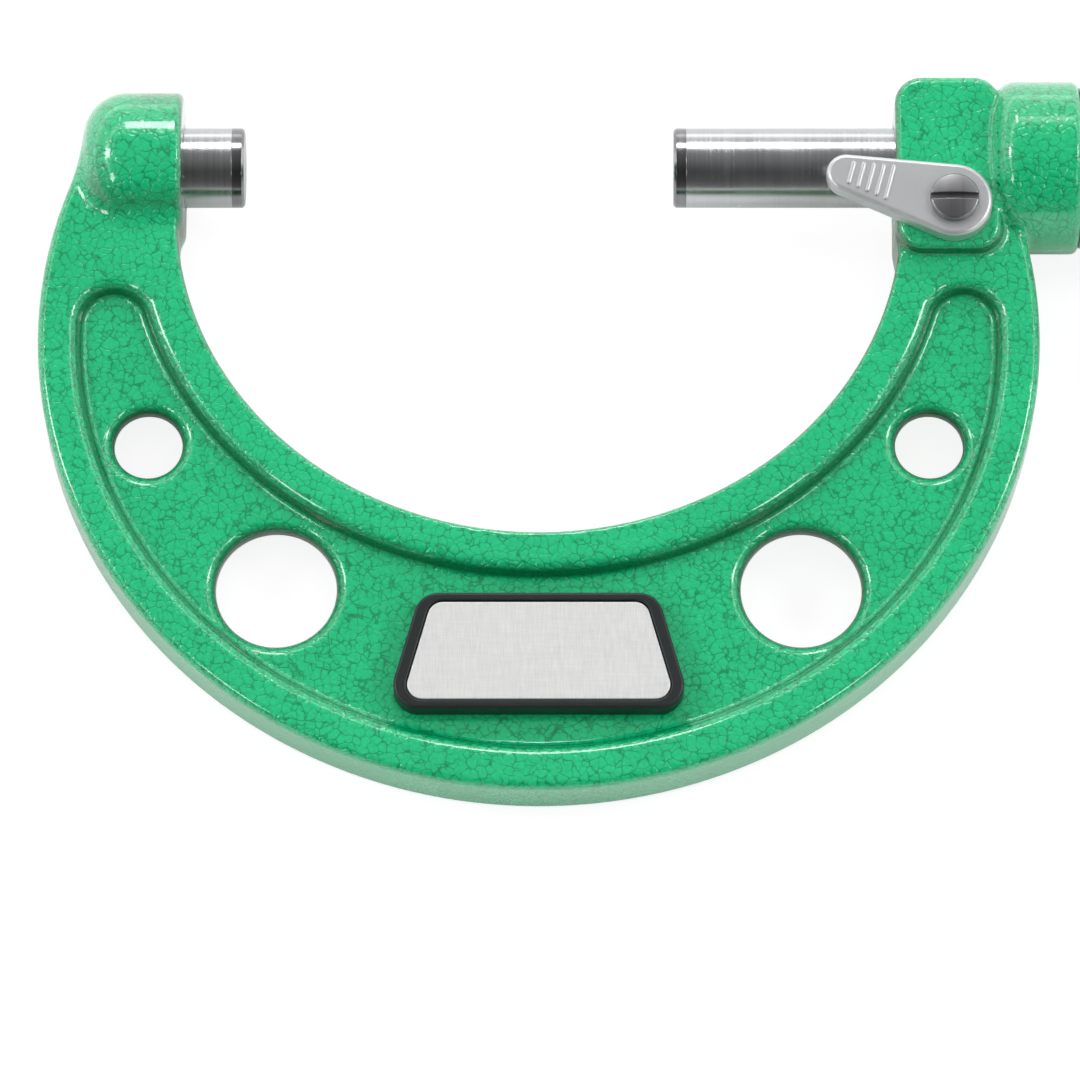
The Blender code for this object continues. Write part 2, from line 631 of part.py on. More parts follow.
def make_label():
    """Moulded surround glued to the web, and the thin plate in its recess."""
    inner_y = ellipse_point(POCKET_INNER, 90.0)[1]
    outer_y = ellipse_point(POCKET_OUTER, 90.0)[1]
    centre = (MIDDLE_X, (inner_y + outer_y) / 2 + BEZEL_RAISE)
    half_thickness = BEZEL_THICKNESS / 2
    bezel = slab("label_bezel", trapezoid(BEZEL_HALF_WIDTH, BEZEL_HEIGHT, BEZEL_CORNER),
                 half_thickness, BEZEL_EDGE_ROUND, BLACK_PLASTIC)
    bezel.location = (*centre, WEB_TOP + half_thickness)

    lean = math.radians(BEZEL_SIDE_LEAN)
    recess_half = (BEZEL_HALF_WIDTH - BEZEL_BORDER_ENDS * math.tan(lean)
                   - BEZEL_BORDER_SIDES / math.cos(lean))
    recess_height = BEZEL_HEIGHT - 2 * BEZEL_BORDER_ENDS
    recess_corner = BEZEL_CORNER - BEZEL_BORDER_ENDS
    recess_depth = PLATE_THICKNESS + PLATE_SUNK
    recess = slab("plate_recess", trapezoid(recess_half, recess_height, recess_corner),
                  recess_depth, cutter=True)
    recess.location = (*centre, WEB_TOP + BEZEL_THICKNESS)
    combine(bezel, recess, "DIFFERENCE")

    plate = slab("label_plate", trapezoid(recess_half - SEAT_GAP, recess_height - 2 * SEAT_GAP,
                                          recess_corner - SEAT_GAP),
                 PLATE_THICKNESS / 2, 0.0, BRUSHED_PLATE)
    plate.location = (*centre, WEB_TOP + BEZEL_THICKNESS - PLATE_SUNK - PLATE_THICKNESS / 2)


def make_sleeves():
    """Inner sleeve with its slotted nut end, graduated outer sleeve and adjusting nut."""
    tail_radius = INNER_SLEEVE_RADIUS - NUT_STEP
    inner = turned("inner_sleeve", [
        (tail_radius - NUT_TAPER, INNER_SLEEVE_END_X),
        (tail_radius, OUTER_SLEEVE_END_X),
        (INNER_SLEEVE_RADIUS, OUTER_SLEEVE_END_X),
        (INNER_SLEEVE_RADIUS, SLEEVE_SEAT_X + SEAT_GAP),
        (GUIDE_RADIUS, SLEEVE_SEAT_X + SEAT_GAP),
        (GUIDE_RADIUS, GUIDE_END_X),
        (RELIEF_RADIUS, GUIDE_END_X),
        (RELIEF_RADIUS, NUT_THREAD_X),
        (NUT_RADIUS, NUT_THREAD_X),
        (NUT_RADIUS, INNER_SLEEVE_END_X)], DARK_STEEL, hollow=True)
    lay_along_x(inner, 0.0)
    slot_length = INNER_SLEEVE_END_X - NUT_THREAD_X
    for index in range(SLOT_COUNT):
        slot = block("nut_slot_%d" % (index + 1),
                     (2 * slot_length, 2 * INNER_SLEEVE_RADIUS, SLOT_WIDTH),
                     (0.0, INNER_SLEEVE_RADIUS, 0.0), cutter=True)
        slot.location = (INNER_SLEEVE_END_X, 0.0, 0.0)
        slot.rotation_euler = (math.tau * (index + 0.25) / SLOT_COUNT, 0.0, 0.0)
        combine(inner, slot, "DIFFERENCE")

    outer = turned("outer_sleeve", [
        (OUTER_SLEEVE_RADIUS - EDGE_CHAMFER, OUTER_SLEEVE_END_X),
        (OUTER_SLEEVE_RADIUS, OUTER_SLEEVE_END_X - EDGE_CHAMFER),
        (OUTER_SLEEVE_RADIUS, BOSS_END_X + SEAT_GAP),
        (OUTER_SLEEVE_BORE, BOSS_END_X + SEAT_GAP),
        (OUTER_SLEEVE_BORE, OUTER_SLEEVE_END_X)], SATIN_CHROME, hollow=True)
    lay_along_x(outer, 0.0)
    spanner_hole = cylinder("spanner_hole", SPANNER_HOLE_RADIUS, -2 * OUTER_SLEEVE_RADIUS,
                            -OUTER_SLEEVE_BORE / 2, cutter=True)
    spanner_hole.location = (BOSS_END_X + SPANNER_HOLE_OFFSET, 0.0, 0.0)
    combine(outer, spanner_hole, "DIFFERENCE")

    def taper_radius(station):
        share = (station - OUTER_SLEEVE_END_X) / (INNER_SLEEVE_END_X - OUTER_SLEEVE_END_X)
        return tail_radius - NUT_TAPER * share

    left = ADJUSTING_NUT_X
    right = ADJUSTING_NUT_X + ADJUSTING_NUT_LENGTH
    nut_radius = tail_radius + ADJUSTING_NUT_WALL
    nut = turned("adjusting_nut", [
        (nut_radius - EDGE_CHAMFER, right),
        (nut_radius, right - EDGE_CHAMFER),
        (nut_radius, left + EDGE_CHAMFER),
        (nut_radius - EDGE_CHAMFER, left),
        (taper_radius(left) + SEAT_GAP, left),
        (taper_radius(right) + SEAT_GAP, right)], DARK_STEEL, hollow=True)
    lay_along_x(nut, 0.0)
    for sign in (-1, 1):
        notch = block("nut_notch_left" if sign < 0 else "nut_notch_right",
                      (ADJUSTING_NUT_LENGTH / 2, SLOT_WIDTH, SLOT_WIDTH),
                      (right, sign * nut_radius, 0.0), cutter=True)
        combine(nut, notch, "DIFFERENCE")


def make_spindle():
    """Ground rod with a fine thread, a cone for the thimble and a tapped end."""
    radius = SPINDLE_RADIUS
    tip = turned("spindle_tip", [(0.0, TIP_THICKNESS), (radius, TIP_THICKNESS),
                                 (radius, EDGE_CHAMFER), (radius - EDGE_CHAMFER, 0.0),
                                 (0.0, 0.0)], CARBIDE)
    lay_along_x(tip, READING)
    neck_radius = THREAD_RADIUS - NECK_STEP
    end = CONE_END - 2 * SEAT_GAP
    spindle = turned("spindle", [
        (0.0, CONE_END - TAPPED_DEPTH),
        (TAPPED_RADIUS, CONE_END - TAPPED_DEPTH),
        (TAPPED_RADIUS, end),
        (CONE_SMALL_RADIUS, end),
        (CONE_LARGE_RADIUS, CONE_START),
        (neck_radius, CONE_START),
        (neck_radius, CONE_START - NECK_LENGTH),
        (THREAD_RADIUS, CONE_START - NECK_LENGTH),
        (THREAD_RADIUS, THREAD_START),
        (radius, THREAD_START),
        (radius, TIP_THICKNESS),
        (0.0, TIP_THICKNESS)], GROUND_STEEL)
    lay_along_x(spindle, READING)


def make_thimble():
    """Satin tube with a bevelled edge, a grip between two grooves and a stepped end."""
    grip_end = THIMBLE_EDGE + GRIP_START + GRIP_LENGTH
    profile = [
        (FLANGE_RADIUS + 2 * SEAT_GAP, THIMBLE_END),
        (SHOULDER_RADIUS - EDGE_CHAMFER, THIMBLE_END),
        (SHOULDER_RADIUS, THIMBLE_END - EDGE_CHAMFER),
        (SHOULDER_RADIUS, THIMBLE_END - COUNTERBORE_DEPTH),
        (THIMBLE_RADIUS, THIMBLE_END - SHOULDER_LENGTH)]
    for groove_start in (grip_end, THIMBLE_EDGE + GRIP_START - GRIP_GROOVE_WIDTH):
        profile += [
            (THIMBLE_RADIUS, groove_start + GRIP_GROOVE_WIDTH),
            (THIMBLE_RADIUS - GRIP_GROOVE_DEPTH, groove_start + GRIP_GROOVE_WIDTH),
            (THIMBLE_RADIUS - GRIP_GROOVE_DEPTH, groove_start),
            (THIMBLE_RADIUS, groove_start)]
    profile += [
        (THIMBLE_RADIUS, THIMBLE_EDGE + BEVEL_LENGTH),
        (THIMBLE_BORE + THIMBLE_LIP, THIMBLE_EDGE),
        (THIMBLE_BORE, THIMBLE_EDGE),
        (THIMBLE_BORE, END_WALL),
        (CONE_LARGE_RADIUS + PRESS_GAP, END_WALL),
        (CONE_SMALL_RADIUS + PRESS_GAP, CONE_END),
        (FLANGE_RADIUS + 2 * SEAT_GAP, CONE_END)]
    thimble = turned("thimble", profile, SATIN_CHROME, hollow=True)
    lay_along_x(thimble, READING)


def make_ratchet():
    """Shank, sprung pawl and toothed knob, held on by a washer and a slotted screw."""
    shank = turned("ratchet_shank", [
        (0.0, POST_END - END_SCREW_DEPTH - SEAT_GAP),
        (END_SCREW_RADIUS + SEAT_GAP, POST_END - END_SCREW_DEPTH - SEAT_GAP),
        (END_SCREW_RADIUS + SEAT_GAP, POST_END),
        (POST_RADIUS - EDGE_CHAMFER, POST_END),
        (POST_RADIUS, POST_END - EDGE_CHAMFER),
        (POST_RADIUS, THIMBLE_END),
        (FLANGE_RADIUS, THIMBLE_END),
        (FLANGE_RADIUS, FLANGE_FACE),
        (TAPPED_RADIUS - SEAT_GAP, FLANGE_FACE),
        (TAPPED_RADIUS - SEAT_GAP, CONE_END - TAPPED_DEPTH + NECK_LENGTH),
        (0.0, CONE_END - TAPPED_DEPTH + NECK_LENGTH)], GROUND_STEEL)
    lay_along_x(shank, READING)
    pawl_bore = cylinder("pawl_bore", PAWL_RADIUS + SEAT_GAP, PAWL_HOLE_BOTTOM, 2 * POST_RADIUS,
                         cutter=True)
    pawl_bore.location = (READING + PAWL_STATION, 0.0, 0.0)
    combine(shank, pawl_bore, "DIFFERENCE")

    pawl = turned("ratchet_pawl", [
        (0.0, PAWL_TOP), (PAWL_TIP_RADIUS, PAWL_TOP), (PAWL_RADIUS, PAWL_TOP - PAWL_TIP_LENGTH),
        (PAWL_RADIUS, PAWL_TOP - PAWL_LENGTH), (0.0, PAWL_TOP - PAWL_LENGTH)],
        GROUND_STEEL, SMALL_STEPS)
    pawl.location = (READING + PAWL_STATION, 0.0, 0.0)

    bottom = PAWL_HOLE_BOTTOM + SPRING_WIRE_RADIUS + SEAT_GAP
    top = PAWL_TOP - PAWL_LENGTH - SPRING_WIRE_RADIUS - SEAT_GAP
    coil = bpy.data.curves.new("ratchet_spring", "CURVE")
    coil.dimensions = "3D"
    coil.bevel_depth = SPRING_WIRE_RADIUS
    coil.bevel_resolution = 1
    coil.use_fill_caps = True
    points = helix(PAWL_RADIUS - 2 * SPRING_WIRE_RADIUS, bottom, top, SPRING_TURNS)
    spline = coil.splines.new("POLY")
    spline.points.add(len(points) - 1)
    for point, place in zip(spline.points, points):
        point.co = (*place, 1.0)
    spring = add_object("ratchet_spring", coil, SPRING_STEEL)
    spring.location = (READING + PAWL_STATION, 0.0, 0.0)

    knob = turned("ratchet_knob", [
        (KNOB_RADIUS - KNOB_CHAMFER, KNOB_END),
        (KNOB_RADIUS, KNOB_END - KNOB_CHAMFER),
        (KNOB_RADIUS, KNOB_START + KNOB_CHAMFER),
        (KNOB_RADIUS - KNOB_CHAMFER, KNOB_START),
        (KNOB_BORE, KNOB_START),
        (KNOB_BORE, POST_END - SEAT_GAP),
        (KNOB_RECESS_RADIUS, POST_END - SEAT_GAP),
        (KNOB_RECESS_RADIUS, KNOB_END)], SATIN_CHROME, hollow=True)
    lay_along_x(knob, READING)
    star = slab("tooth_space", ratchet_star(TOOTH_TIP_RADIUS, TOOTH_ROOT_RADIUS), TOOTH_ZONE,
                cutter=True)
    lay_along_x(star, READING + KNOB_START)
    combine(knob, star, "DIFFERENCE")

    washer = turned("ratchet_washer", [
        (WASHER_RADIUS, WASHER_FACE + WASHER_THICKNESS), (WASHER_RADIUS, WASHER_FACE),
        (END_SCREW_RADIUS + SEAT_GAP, WASHER_FACE),
        (END_SCREW_RADIUS + SEAT_GAP, WASHER_FACE + WASHER_THICKNESS)],
        GROUND_STEEL, SMALL_STEPS, hollow=True)
    lay_along_x(washer, READING)

    head_top = SCREW_HEAD_FACE + END_SCREW_HEAD
    screw = turned("ratchet_screw", [
        (0.0, head_top), (END_SCREW_HEAD_RADIUS - EDGE_CHAMFER, head_top),
        (END_SCREW_HEAD_RADIUS, head_top - EDGE_CHAMFER),
        (END_SCREW_HEAD_RADIUS, SCREW_HEAD_FACE), (END_SCREW_RADIUS, SCREW_HEAD_FACE),
        (END_SCREW_RADIUS, POST_END - END_SCREW_DEPTH), (0.0, POST_END - END_SCREW_DEPTH)],
        GROUND_STEEL, SMALL_STEPS)
    lay_along_x(screw, READING)
    slot = block("end_screw_slot", (2 * DRIVER_SLOT_DEPTH, DRIVER_SLOT_WIDTH, 4 * END_SCREW_HEAD_RADIUS),
                 (0.0, 0.0, 0.0), cutter=True)
    slot.location = (READING + head_top, 0.0, 0.0)
    combine(screw, slot, "DIFFERENCE")


def make_lock():
    """Eccentric pin across the frame, its lever and screw in front, washer and clip at the back."""
    place = (LOCK_X, LOCK_Y, 0.0)
    neck_top = LEVER_TOP - SEAT_GAP
    tapped = LOCK_SCREW_RADIUS + SEAT_GAP
    tapped_bottom = LEVER_TOP - LOCK_SCREW_DEPTH - 2 * SEAT_GAP
    shaft = turned("lock_shaft", [
        (0.0, tapped_bottom), (tapped, tapped_bottom), (tapped, neck_top),
        (LEVER_BORE_RADIUS - PRESS_GAP, neck_top),
        (LEVER_BORE_RADIUS - PRESS_GAP, LEVER_BOTTOM),
        (LOCK_SHAFT_RADIUS, LEVER_BOTTOM),
        (LOCK_SHAFT_RADIUS, CAM_HALF_LENGTH),
        (CAM_NECK_RADIUS, CAM_HALF_LENGTH),
        (CAM_NECK_RADIUS, -CAM_HALF_LENGTH),
        (LOCK_SHAFT_RADIUS, -CAM_HALF_LENGTH),
        (LOCK_SHAFT_RADIUS, GROOVE_TOP),
        (CLIP_GROOVE_RADIUS, GROOVE_TOP),
        (CLIP_GROOVE_RADIUS, GROOVE_BOTTOM),
        (LOCK_SHAFT_RADIUS, GROOVE_BOTTOM),
        (LOCK_SHAFT_RADIUS, GROOVE_BOTTOM - SHAFT_BEYOND_CLIP),
        (0.0, GROOVE_BOTTOM - SHAFT_BEYOND_CLIP)], GROUND_STEEL, SMALL_STEPS)
    shaft.location = place
    cam = cylinder("lock_cam", CAM_RADIUS, -CAM_HALF_LENGTH, CAM_HALF_LENGTH, cutter=True)
    cam_turn = math.radians(90.0 + LOCK_SWING)
    cam.location = (LOCK_X + CAM_THROW * math.cos(cam_turn), LOCK_Y + CAM_THROW * math.sin(cam_turn), 0.0)
    combine(shaft, cam, "UNION")

    lever = slab("lock_lever", lever_outline(), LEVER_THICKNESS / 2, EDGE_CHAMFER, SATIN_CHROME)
    lever.location = (LOCK_X, LOCK_Y, (LEVER_BOTTOM + LEVER_TOP) / 2)
    lever.rotation_euler = (0.0, 0.0, math.radians(LEVER_REST_ANGLE))
    lever_bore = cylinder("lever_bore", LEVER_BORE_RADIUS, 0.0, 2 * LEVER_TOP, cutter=True)
    lever_bore.location = place
    combine(lever, lever_bore, "DIFFERENCE")

    head_top = LEVER_TOP + LOCK_SCREW_HEAD
    screw = turned("lock_screw", [
        (0.0, head_top), (LOCK_SCREW_HEAD_RADIUS - 2 * EDGE_CHAMFER, head_top),
        (LOCK_SCREW_HEAD_RADIUS, head_top - 2 * EDGE_CHAMFER),
        (LOCK_SCREW_HEAD_RADIUS, LEVER_TOP), (LOCK_SCREW_RADIUS, LEVER_TOP),
        (LOCK_SCREW_RADIUS, LEVER_TOP - LOCK_SCREW_DEPTH), (0.0, LEVER_TOP - LOCK_SCREW_DEPTH)],
        DARK_STEEL, SMALL_STEPS)
    screw.location = place
    slot = block("lock_screw_slot", (4 * LOCK_SCREW_HEAD_RADIUS, DRIVER_SLOT_WIDTH, 2 * DRIVER_SLOT_DEPTH),
                 (0.0, 0.0, 0.0), cutter=True)
    slot.location = (LOCK_X, LOCK_Y, head_top)
    combine(screw, slot, "DIFFERENCE")

    washer = turned("lock_washer", [
        (LOCK_WASHER_RADIUS, WASHER_TOP), (LOCK_WASHER_RADIUS, WASHER_TOP - LOCK_WASHER_THICKNESS),
        (LOCK_SHAFT_RADIUS + SEAT_GAP, WASHER_TOP - LOCK_WASHER_THICKNESS),
        (LOCK_SHAFT_RADIUS + SEAT_GAP, WASHER_TOP)], GROUND_STEEL, SMALL_STEPS, hollow=True)
    washer.location = place
    clip = slab("lock_clip", clip_outline(), CLIP_THICKNESS / 2, 0.0, SPRING_STEEL)
    clip.location = (LOCK_X, LOCK_Y, GROOVE_BOTTOM + SEAT_GAP + CLIP_THICKNESS / 2)


make_frame()
make_anvil()
make_label()
make_sleeves()
make_spindle()
make_thimble()
make_ratchet()
make_lock()
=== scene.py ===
import math

import bmesh
import bpy
import numpy as np
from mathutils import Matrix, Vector


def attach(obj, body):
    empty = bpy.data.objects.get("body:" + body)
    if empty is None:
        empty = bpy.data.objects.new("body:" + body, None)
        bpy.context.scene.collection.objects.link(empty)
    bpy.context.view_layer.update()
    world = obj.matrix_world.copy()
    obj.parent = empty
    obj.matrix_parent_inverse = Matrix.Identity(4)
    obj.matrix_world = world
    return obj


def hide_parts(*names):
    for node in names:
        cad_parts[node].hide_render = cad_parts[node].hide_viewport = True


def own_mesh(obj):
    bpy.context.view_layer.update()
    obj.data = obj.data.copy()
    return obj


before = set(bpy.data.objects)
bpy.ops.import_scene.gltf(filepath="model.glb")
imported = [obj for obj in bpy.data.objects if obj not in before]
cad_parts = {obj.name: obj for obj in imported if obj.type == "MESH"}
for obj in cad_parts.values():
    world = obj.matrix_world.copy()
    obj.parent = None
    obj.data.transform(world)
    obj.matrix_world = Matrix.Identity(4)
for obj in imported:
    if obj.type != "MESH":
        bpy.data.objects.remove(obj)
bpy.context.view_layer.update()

# Camera and light
# The photograph looks down on the lying tool from its lower side, with a long lens.
# Everything below is written in millimetres and goes into the scene in metres.
MM = 0.001
FRAME_MIDDLE_X = 24.0
ELEVATION = 72.0
CAMERA_DISTANCE = 600.0
CAMERA_LENS = 250.0
SENSOR_WIDTH = 36.0
LOOKED_AT = (24.1, -32.936, 3.0)
LIT_POINT = (FRAME_MIDDLE_X, -20.0, 0.0)
LIGHT_DISTANCE = 520.0

scene = bpy.context.scene
scene.view_settings.view_transform = "Standard"

camera_data = bpy.data.cameras.new("camera")
camera_data.lens = CAMERA_LENS
camera_data.sensor_width = SENSOR_WIDTH
camera_data.clip_start = 0.01
camera = bpy.data.objects.new("camera", camera_data)
tilt = math.radians(90.0 - ELEVATION)
camera.location = (LOOKED_AT[0] * MM,
                   (LOOKED_AT[1] - CAMERA_DISTANCE * math.sin(tilt)) * MM,
                   (LOOKED_AT[2] + CAMERA_DISTANCE * math.cos(tilt)) * MM)
camera.rotation_euler = (tilt, 0.0, 0.0)
scene.collection.objects.link(camera)
scene.camera = camera


def softbox(name, azimuth, height_angle, size, power):
    """A square soft light at an azimuth and a height in degrees round the tool, turned to the frame."""
    data = bpy.data.lights.new(name, "AREA")
    data.shape = "SQUARE"
    data.size = size * MM
    data.energy = power
    light = bpy.data.objects.new(name, data)
    turn = math.radians(azimuth)
    rise = math.radians(height_angle)
    away = Vector((math.cos(turn) * math.cos(rise), math.sin(turn) * math.cos(rise), math.sin(rise)))
    light.location = (Vector(LIT_POINT) + away * LIGHT_DISTANCE) * MM
    light.rotation_euler = away.to_track_quat("Z", "Y").to_euler()
    scene.collection.objects.link(light)
    return light


softbox("left_light", 170.0, 42.0, 110.0, 0.46)
softbox("right_light", 10.0, 42.0, 110.0, 0.46)
softbox("top_light", 92.0, 40.0, 110.0, 0.40)
softbox("front_left_light", 218.0, 42.0, 90.0, 0.24)
softbox("front_right_light", 322.0, 42.0, 90.0, 0.24)
# The large light overhead is flagged off, so that flat glossy faces do not mirror it.
overhead = softbox("overhead_light", 270.0, 87.0, 400.0, 0.78)
overhead.visible_glossy = False

# The room is white to the camera. For the tool it is a tent: pale near the table, darker overhead and
# towards the viewer, with a bright strip of light that runs round the back and both sides.
TENT_LEVELS = ((0.0, 0.95), (0.25, 0.90), (0.50, 0.55), (1.0, 0.21))
STRIP_HEIGHT = 0.66
STRIP_HALF_WIDTH = 0.055
STRIP_LEVEL = 2.2
HORIZON_LEVEL = 1.4


class Nodes:
    """Nodes of a world or a material, added one by one, each with its inputs set by name."""

    def __init__(self, owner):
        owner.use_nodes = True
        self.tree = owner.node_tree
        self.tree.nodes.clear()

    def add(self, kind, settings=(), **inputs):
        """One node. An input is a number, a colour or the output of another node; i0 is the first input."""
        node = self.tree.nodes.new("ShaderNode" + kind)
        for key, value in dict(settings).items():
            setattr(node, key, value)
        for key, value in inputs.items():
            numbered = key[0] == "i" and key[1:].isdigit()
            socket = node.inputs[int(key[1:]) if numbered else key.replace("_", " ")]
            if isinstance(value, bpy.types.NodeSocket):
                self.tree.links.new(value, socket)
            else:
                socket.default_value = value
        return node

    def math(self, operation, *values):
        """One sum on values."""
        inputs = {"i%d" % index: value for index, value in enumerate(values)}
        return self.add("Math", (("operation", operation),), **inputs).outputs[0]

    def spread(self, value, low, high, to_low, to_high, way="LINEAR"):
        """A value moved from one range to another, and kept inside it."""
        return self.add("MapRange", (("interpolation_type", way),), Value=value, From_Min=low,
                        From_Max=high, To_Min=to_low, To_Max=to_high).outputs["Result"]

    def eased(self, value, *ranges):
        """The same with soft ends."""
        return self.spread(value, *ranges, way="SMOOTHSTEP")


scene.world = bpy.data.worlds.new("studio")
studio = Nodes(scene.world)
paths = studio.add("LightPath").outputs
seen = studio.math("MAXIMUM", paths["Is Camera Ray"], paths["Is Transmission Ray"])
way = studio.add("SeparateXYZ", Vector=studio.add("TexCoord").outputs["Generated"]).outputs
tent = studio.add("ValToRGB", Fac=way["Z"])
stops = tent.color_ramp.elements
for height, level in TENT_LEVELS:
    stop = stops[0] if height == 0.0 else stops[-1] if height == 1.0 else stops.new(height)
    stop.color = (level, level, level, 1.0)
viewer_side = studio.eased(way["Y"], -0.60, 0.20, 0.20, 1.0)
off_strip = studio.math("ABSOLUTE", studio.math("SUBTRACT", way["Z"], STRIP_HEIGHT))
strip = studio.eased(off_strip, STRIP_HALF_WIDTH * 0.6, STRIP_HALF_WIDTH * 1.4, STRIP_LEVEL, 0.0)
strip = studio.math("MULTIPLY", strip, studio.eased(way["Y"], -0.45, -0.15, 0.0, 1.0))
strip = studio.math("ADD", strip, studio.eased(way["Z"], 0.04, 0.18, HORIZON_LEVEL, 0.0))
tent_light = studio.math("MULTIPLY_ADD", tent.outputs["Color"], viewer_side, strip)
level = studio.add("Mix", Factor=seen, A=tent_light, B=1.0)
sky = studio.add("Background", Color=(1.0, 1.0, 1.0, 1.0), Strength=level.outputs["Result"])
studio.add("OutputWorld", Surface=sky.outputs[0])

# Table top
# A white sheet that the tool lies on, tilted so that it touches what the tool really rests on:
# the anvil boss, the thimble and the lower rim of the U. It is white to the camera and takes a soft shadow.
BOSS_REST = (-9.6, 6.15)
THIMBLE_REST = (90.48, 8.57)
RIM_REST = (24.0, -52.9, -3.0)
FLOOR_SIZE = 3000.0
FLOOR_GAP = 0.03

lean_x = (THIMBLE_REST[1] - BOSS_REST[1]) / (THIMBLE_REST[0] - BOSS_REST[0])
floor_depth = BOSS_REST[1] - lean_x * BOSS_REST[0]
lean_y = (floor_depth + lean_x * RIM_REST[0] + RIM_REST[2]) / -RIM_REST[1]
upward = Vector((lean_x, lean_y, 1.0)).normalized()
half = FLOOR_SIZE / 2 * MM
floor_mesh = bpy.data.meshes.new("table_top")
floor_mesh.from_pydata([(-half, -half, 0.0), (half, -half, 0.0), (half, half, 0.0), (-half, half, 0.0)],
                       [], [(0, 1, 2, 3)])
floor = bpy.data.objects.new("table_top", floor_mesh)
floor.location = -upward * (floor_depth + FLOOR_GAP) * MM
floor.rotation_euler = upward.to_track_quat("Z", "Y").to_euler()
scene.collection.objects.link(floor)
floor_mesh.materials.append(bpy.data.materials.new("white_paper"))
paper = Nodes(floor_mesh.materials[0])
seen = paper.add("LightPath").outputs["Is Camera Ray"]
shaded = paper.add("BsdfDiffuse", Color=(0.22, 0.22, 0.22, 1.0))
glow = paper.add("Emission", Strength=0.86)
lit = paper.add("AddShader", i0=shaded.outputs[0], i1=glow.outputs[0])
plain_white = paper.add("BsdfDiffuse", Color=(0.88, 0.88, 0.88, 1.0))
either = paper.add("MixShader", Fac=seen, i1=plain_white.outputs[0], i2=lit.outputs[0])
paper.add("OutputMaterial", Surface=either.outputs[0])

# Cast frame
# One iron casting: a U with a rim all round and a recessed web on both faces, pierced by four
# holes, with a domed boss for the anvil, a pad for the lock and a boss for the sleeve.
# It is fettled, bored for the anvil and the sleeve, and sprayed in green hammer finish.
THROAT = (29.38, 27.31, -4.84)
OUTSIDE = (40.50, 38.27, -15.29)
POCKET_INNER = (32.20, 29.78, -4.84)
POCKET_OUTER = (38.02, 35.42, -15.29)
HEAD_TOP_Y = 2.2
HALF_THICKNESS = 3.0
WEB_HALF_THICKNESS = 1.35
EDGE_ROUND = 0.8
THROAT_ROUND = 0.4
POCKET_END = (34.384, -14.2)
POCKET_END_RADIUS = 3.618
POCKET_TOUCH = (-0.9544, 0.2987)
WALL_DRAFT = 20.0
WALL_INSET = 0.82
CREST_ROUND = 0.75
FOOT_ROUND = 0.35
HOLE_ROUND = 1.15
LARGE_HOLE = (21.05, -36.27, 4.85)
SMALL_HOLE = (31.5, -24.12, 2.75)
ANVIL_BOSS = (-13.18, -4.98, 6.15)
DOME_RADIUS = 3.6
ANVIL_BORE = (-12.18, 3.27)
LOCK_PAD_X = (52.98, 61.58)
LOCK_PAD_Y = (-8.6, 6.4)
LOCK_PAD_TOP = 4.48
LOCK_PAD_CORNER = 2.2
LOCK_PIVOT = (57.58, -4.98)
LOCK_BORE_RADIUS = 1.93
SLEEVE_BOSS_X = (60.88, 67.98)
SLEEVE_BOSS_RADIUS = 7.05
SLEEVE_BOSS_CONE = 1.2
SLEEVE_BOSS_STEP = 1.5
FRAME_BORE_RADIUS = 3.30
SLEEVE_SEAT_X = 61.48
SLEEVE_SEAT_RADIUS = 5.57
HEAD_ROUND = 0.6
BOSS_FILLET = 1.0
PAD_ROUND = 0.7
PAD_FILLET = 0.8
BORE_ROUND = 0.2
CASTING_BOX = ((-17.4, -54.6, -8.0), (69.0, 8.0, 8.0))
CASTING_GRID = 0.30


def past(first, second, radius):
    """Overlap of two regions, with the edge between them rounded."""
    a = np.maximum(first + radius, 0.0)
    b = np.maximum(second + radius, 0.0)
    return np.minimum(np.maximum(first, second), -radius) + np.hypot(a, b)


def joined(first, second, radius):
    """Union of two regions, with a fillet in the corner between them."""
    a = np.maximum(radius - first, 0.0)
    b = np.maximum(radius - second, 0.0)
    return np.maximum(np.minimum(first, second), radius) - np.hypot(a, b)


def ellipse_side(ellipse, x, y, whole=False):
    """Distance outside an ellipse about the frame's middle; its upper half runs straight up unless whole."""
    half_span, reach, centre_y = ellipse
    up = y - centre_y if whole else np.minimum(y - centre_y, 0.0)
    across = np.abs(x - FRAME_MIDDLE_X)
    scaled = np.hypot(across / half_span, up / reach)
    slope = np.hypot(across / half_span ** 2, up / reach ** 2)
    return scaled * (scaled - 1.0) / np.maximum(slope, 1e-9)


def pocket_side(x, y):
    """Distance outside the recess at half depth; it follows both edges of the U and has round ends."""
    outer = ellipse_side(POCKET_OUTER, x, y, whole=True)
    band = past(outer, -ellipse_side(POCKET_INNER, x, y), 0.3) + WALL_INSET
    across = np.abs(x - FRAME_MIDDLE_X) - POCKET_END[0]
    up = y - POCKET_END[1]
    leaning = up * -POCKET_TOUCH[0] + across * POCKET_TOUCH[1]
    band = np.maximum(band, np.minimum(leaning, up))
    return np.minimum(band, np.hypot(across, up) - POCKET_END_RADIUS + WALL_INSET)


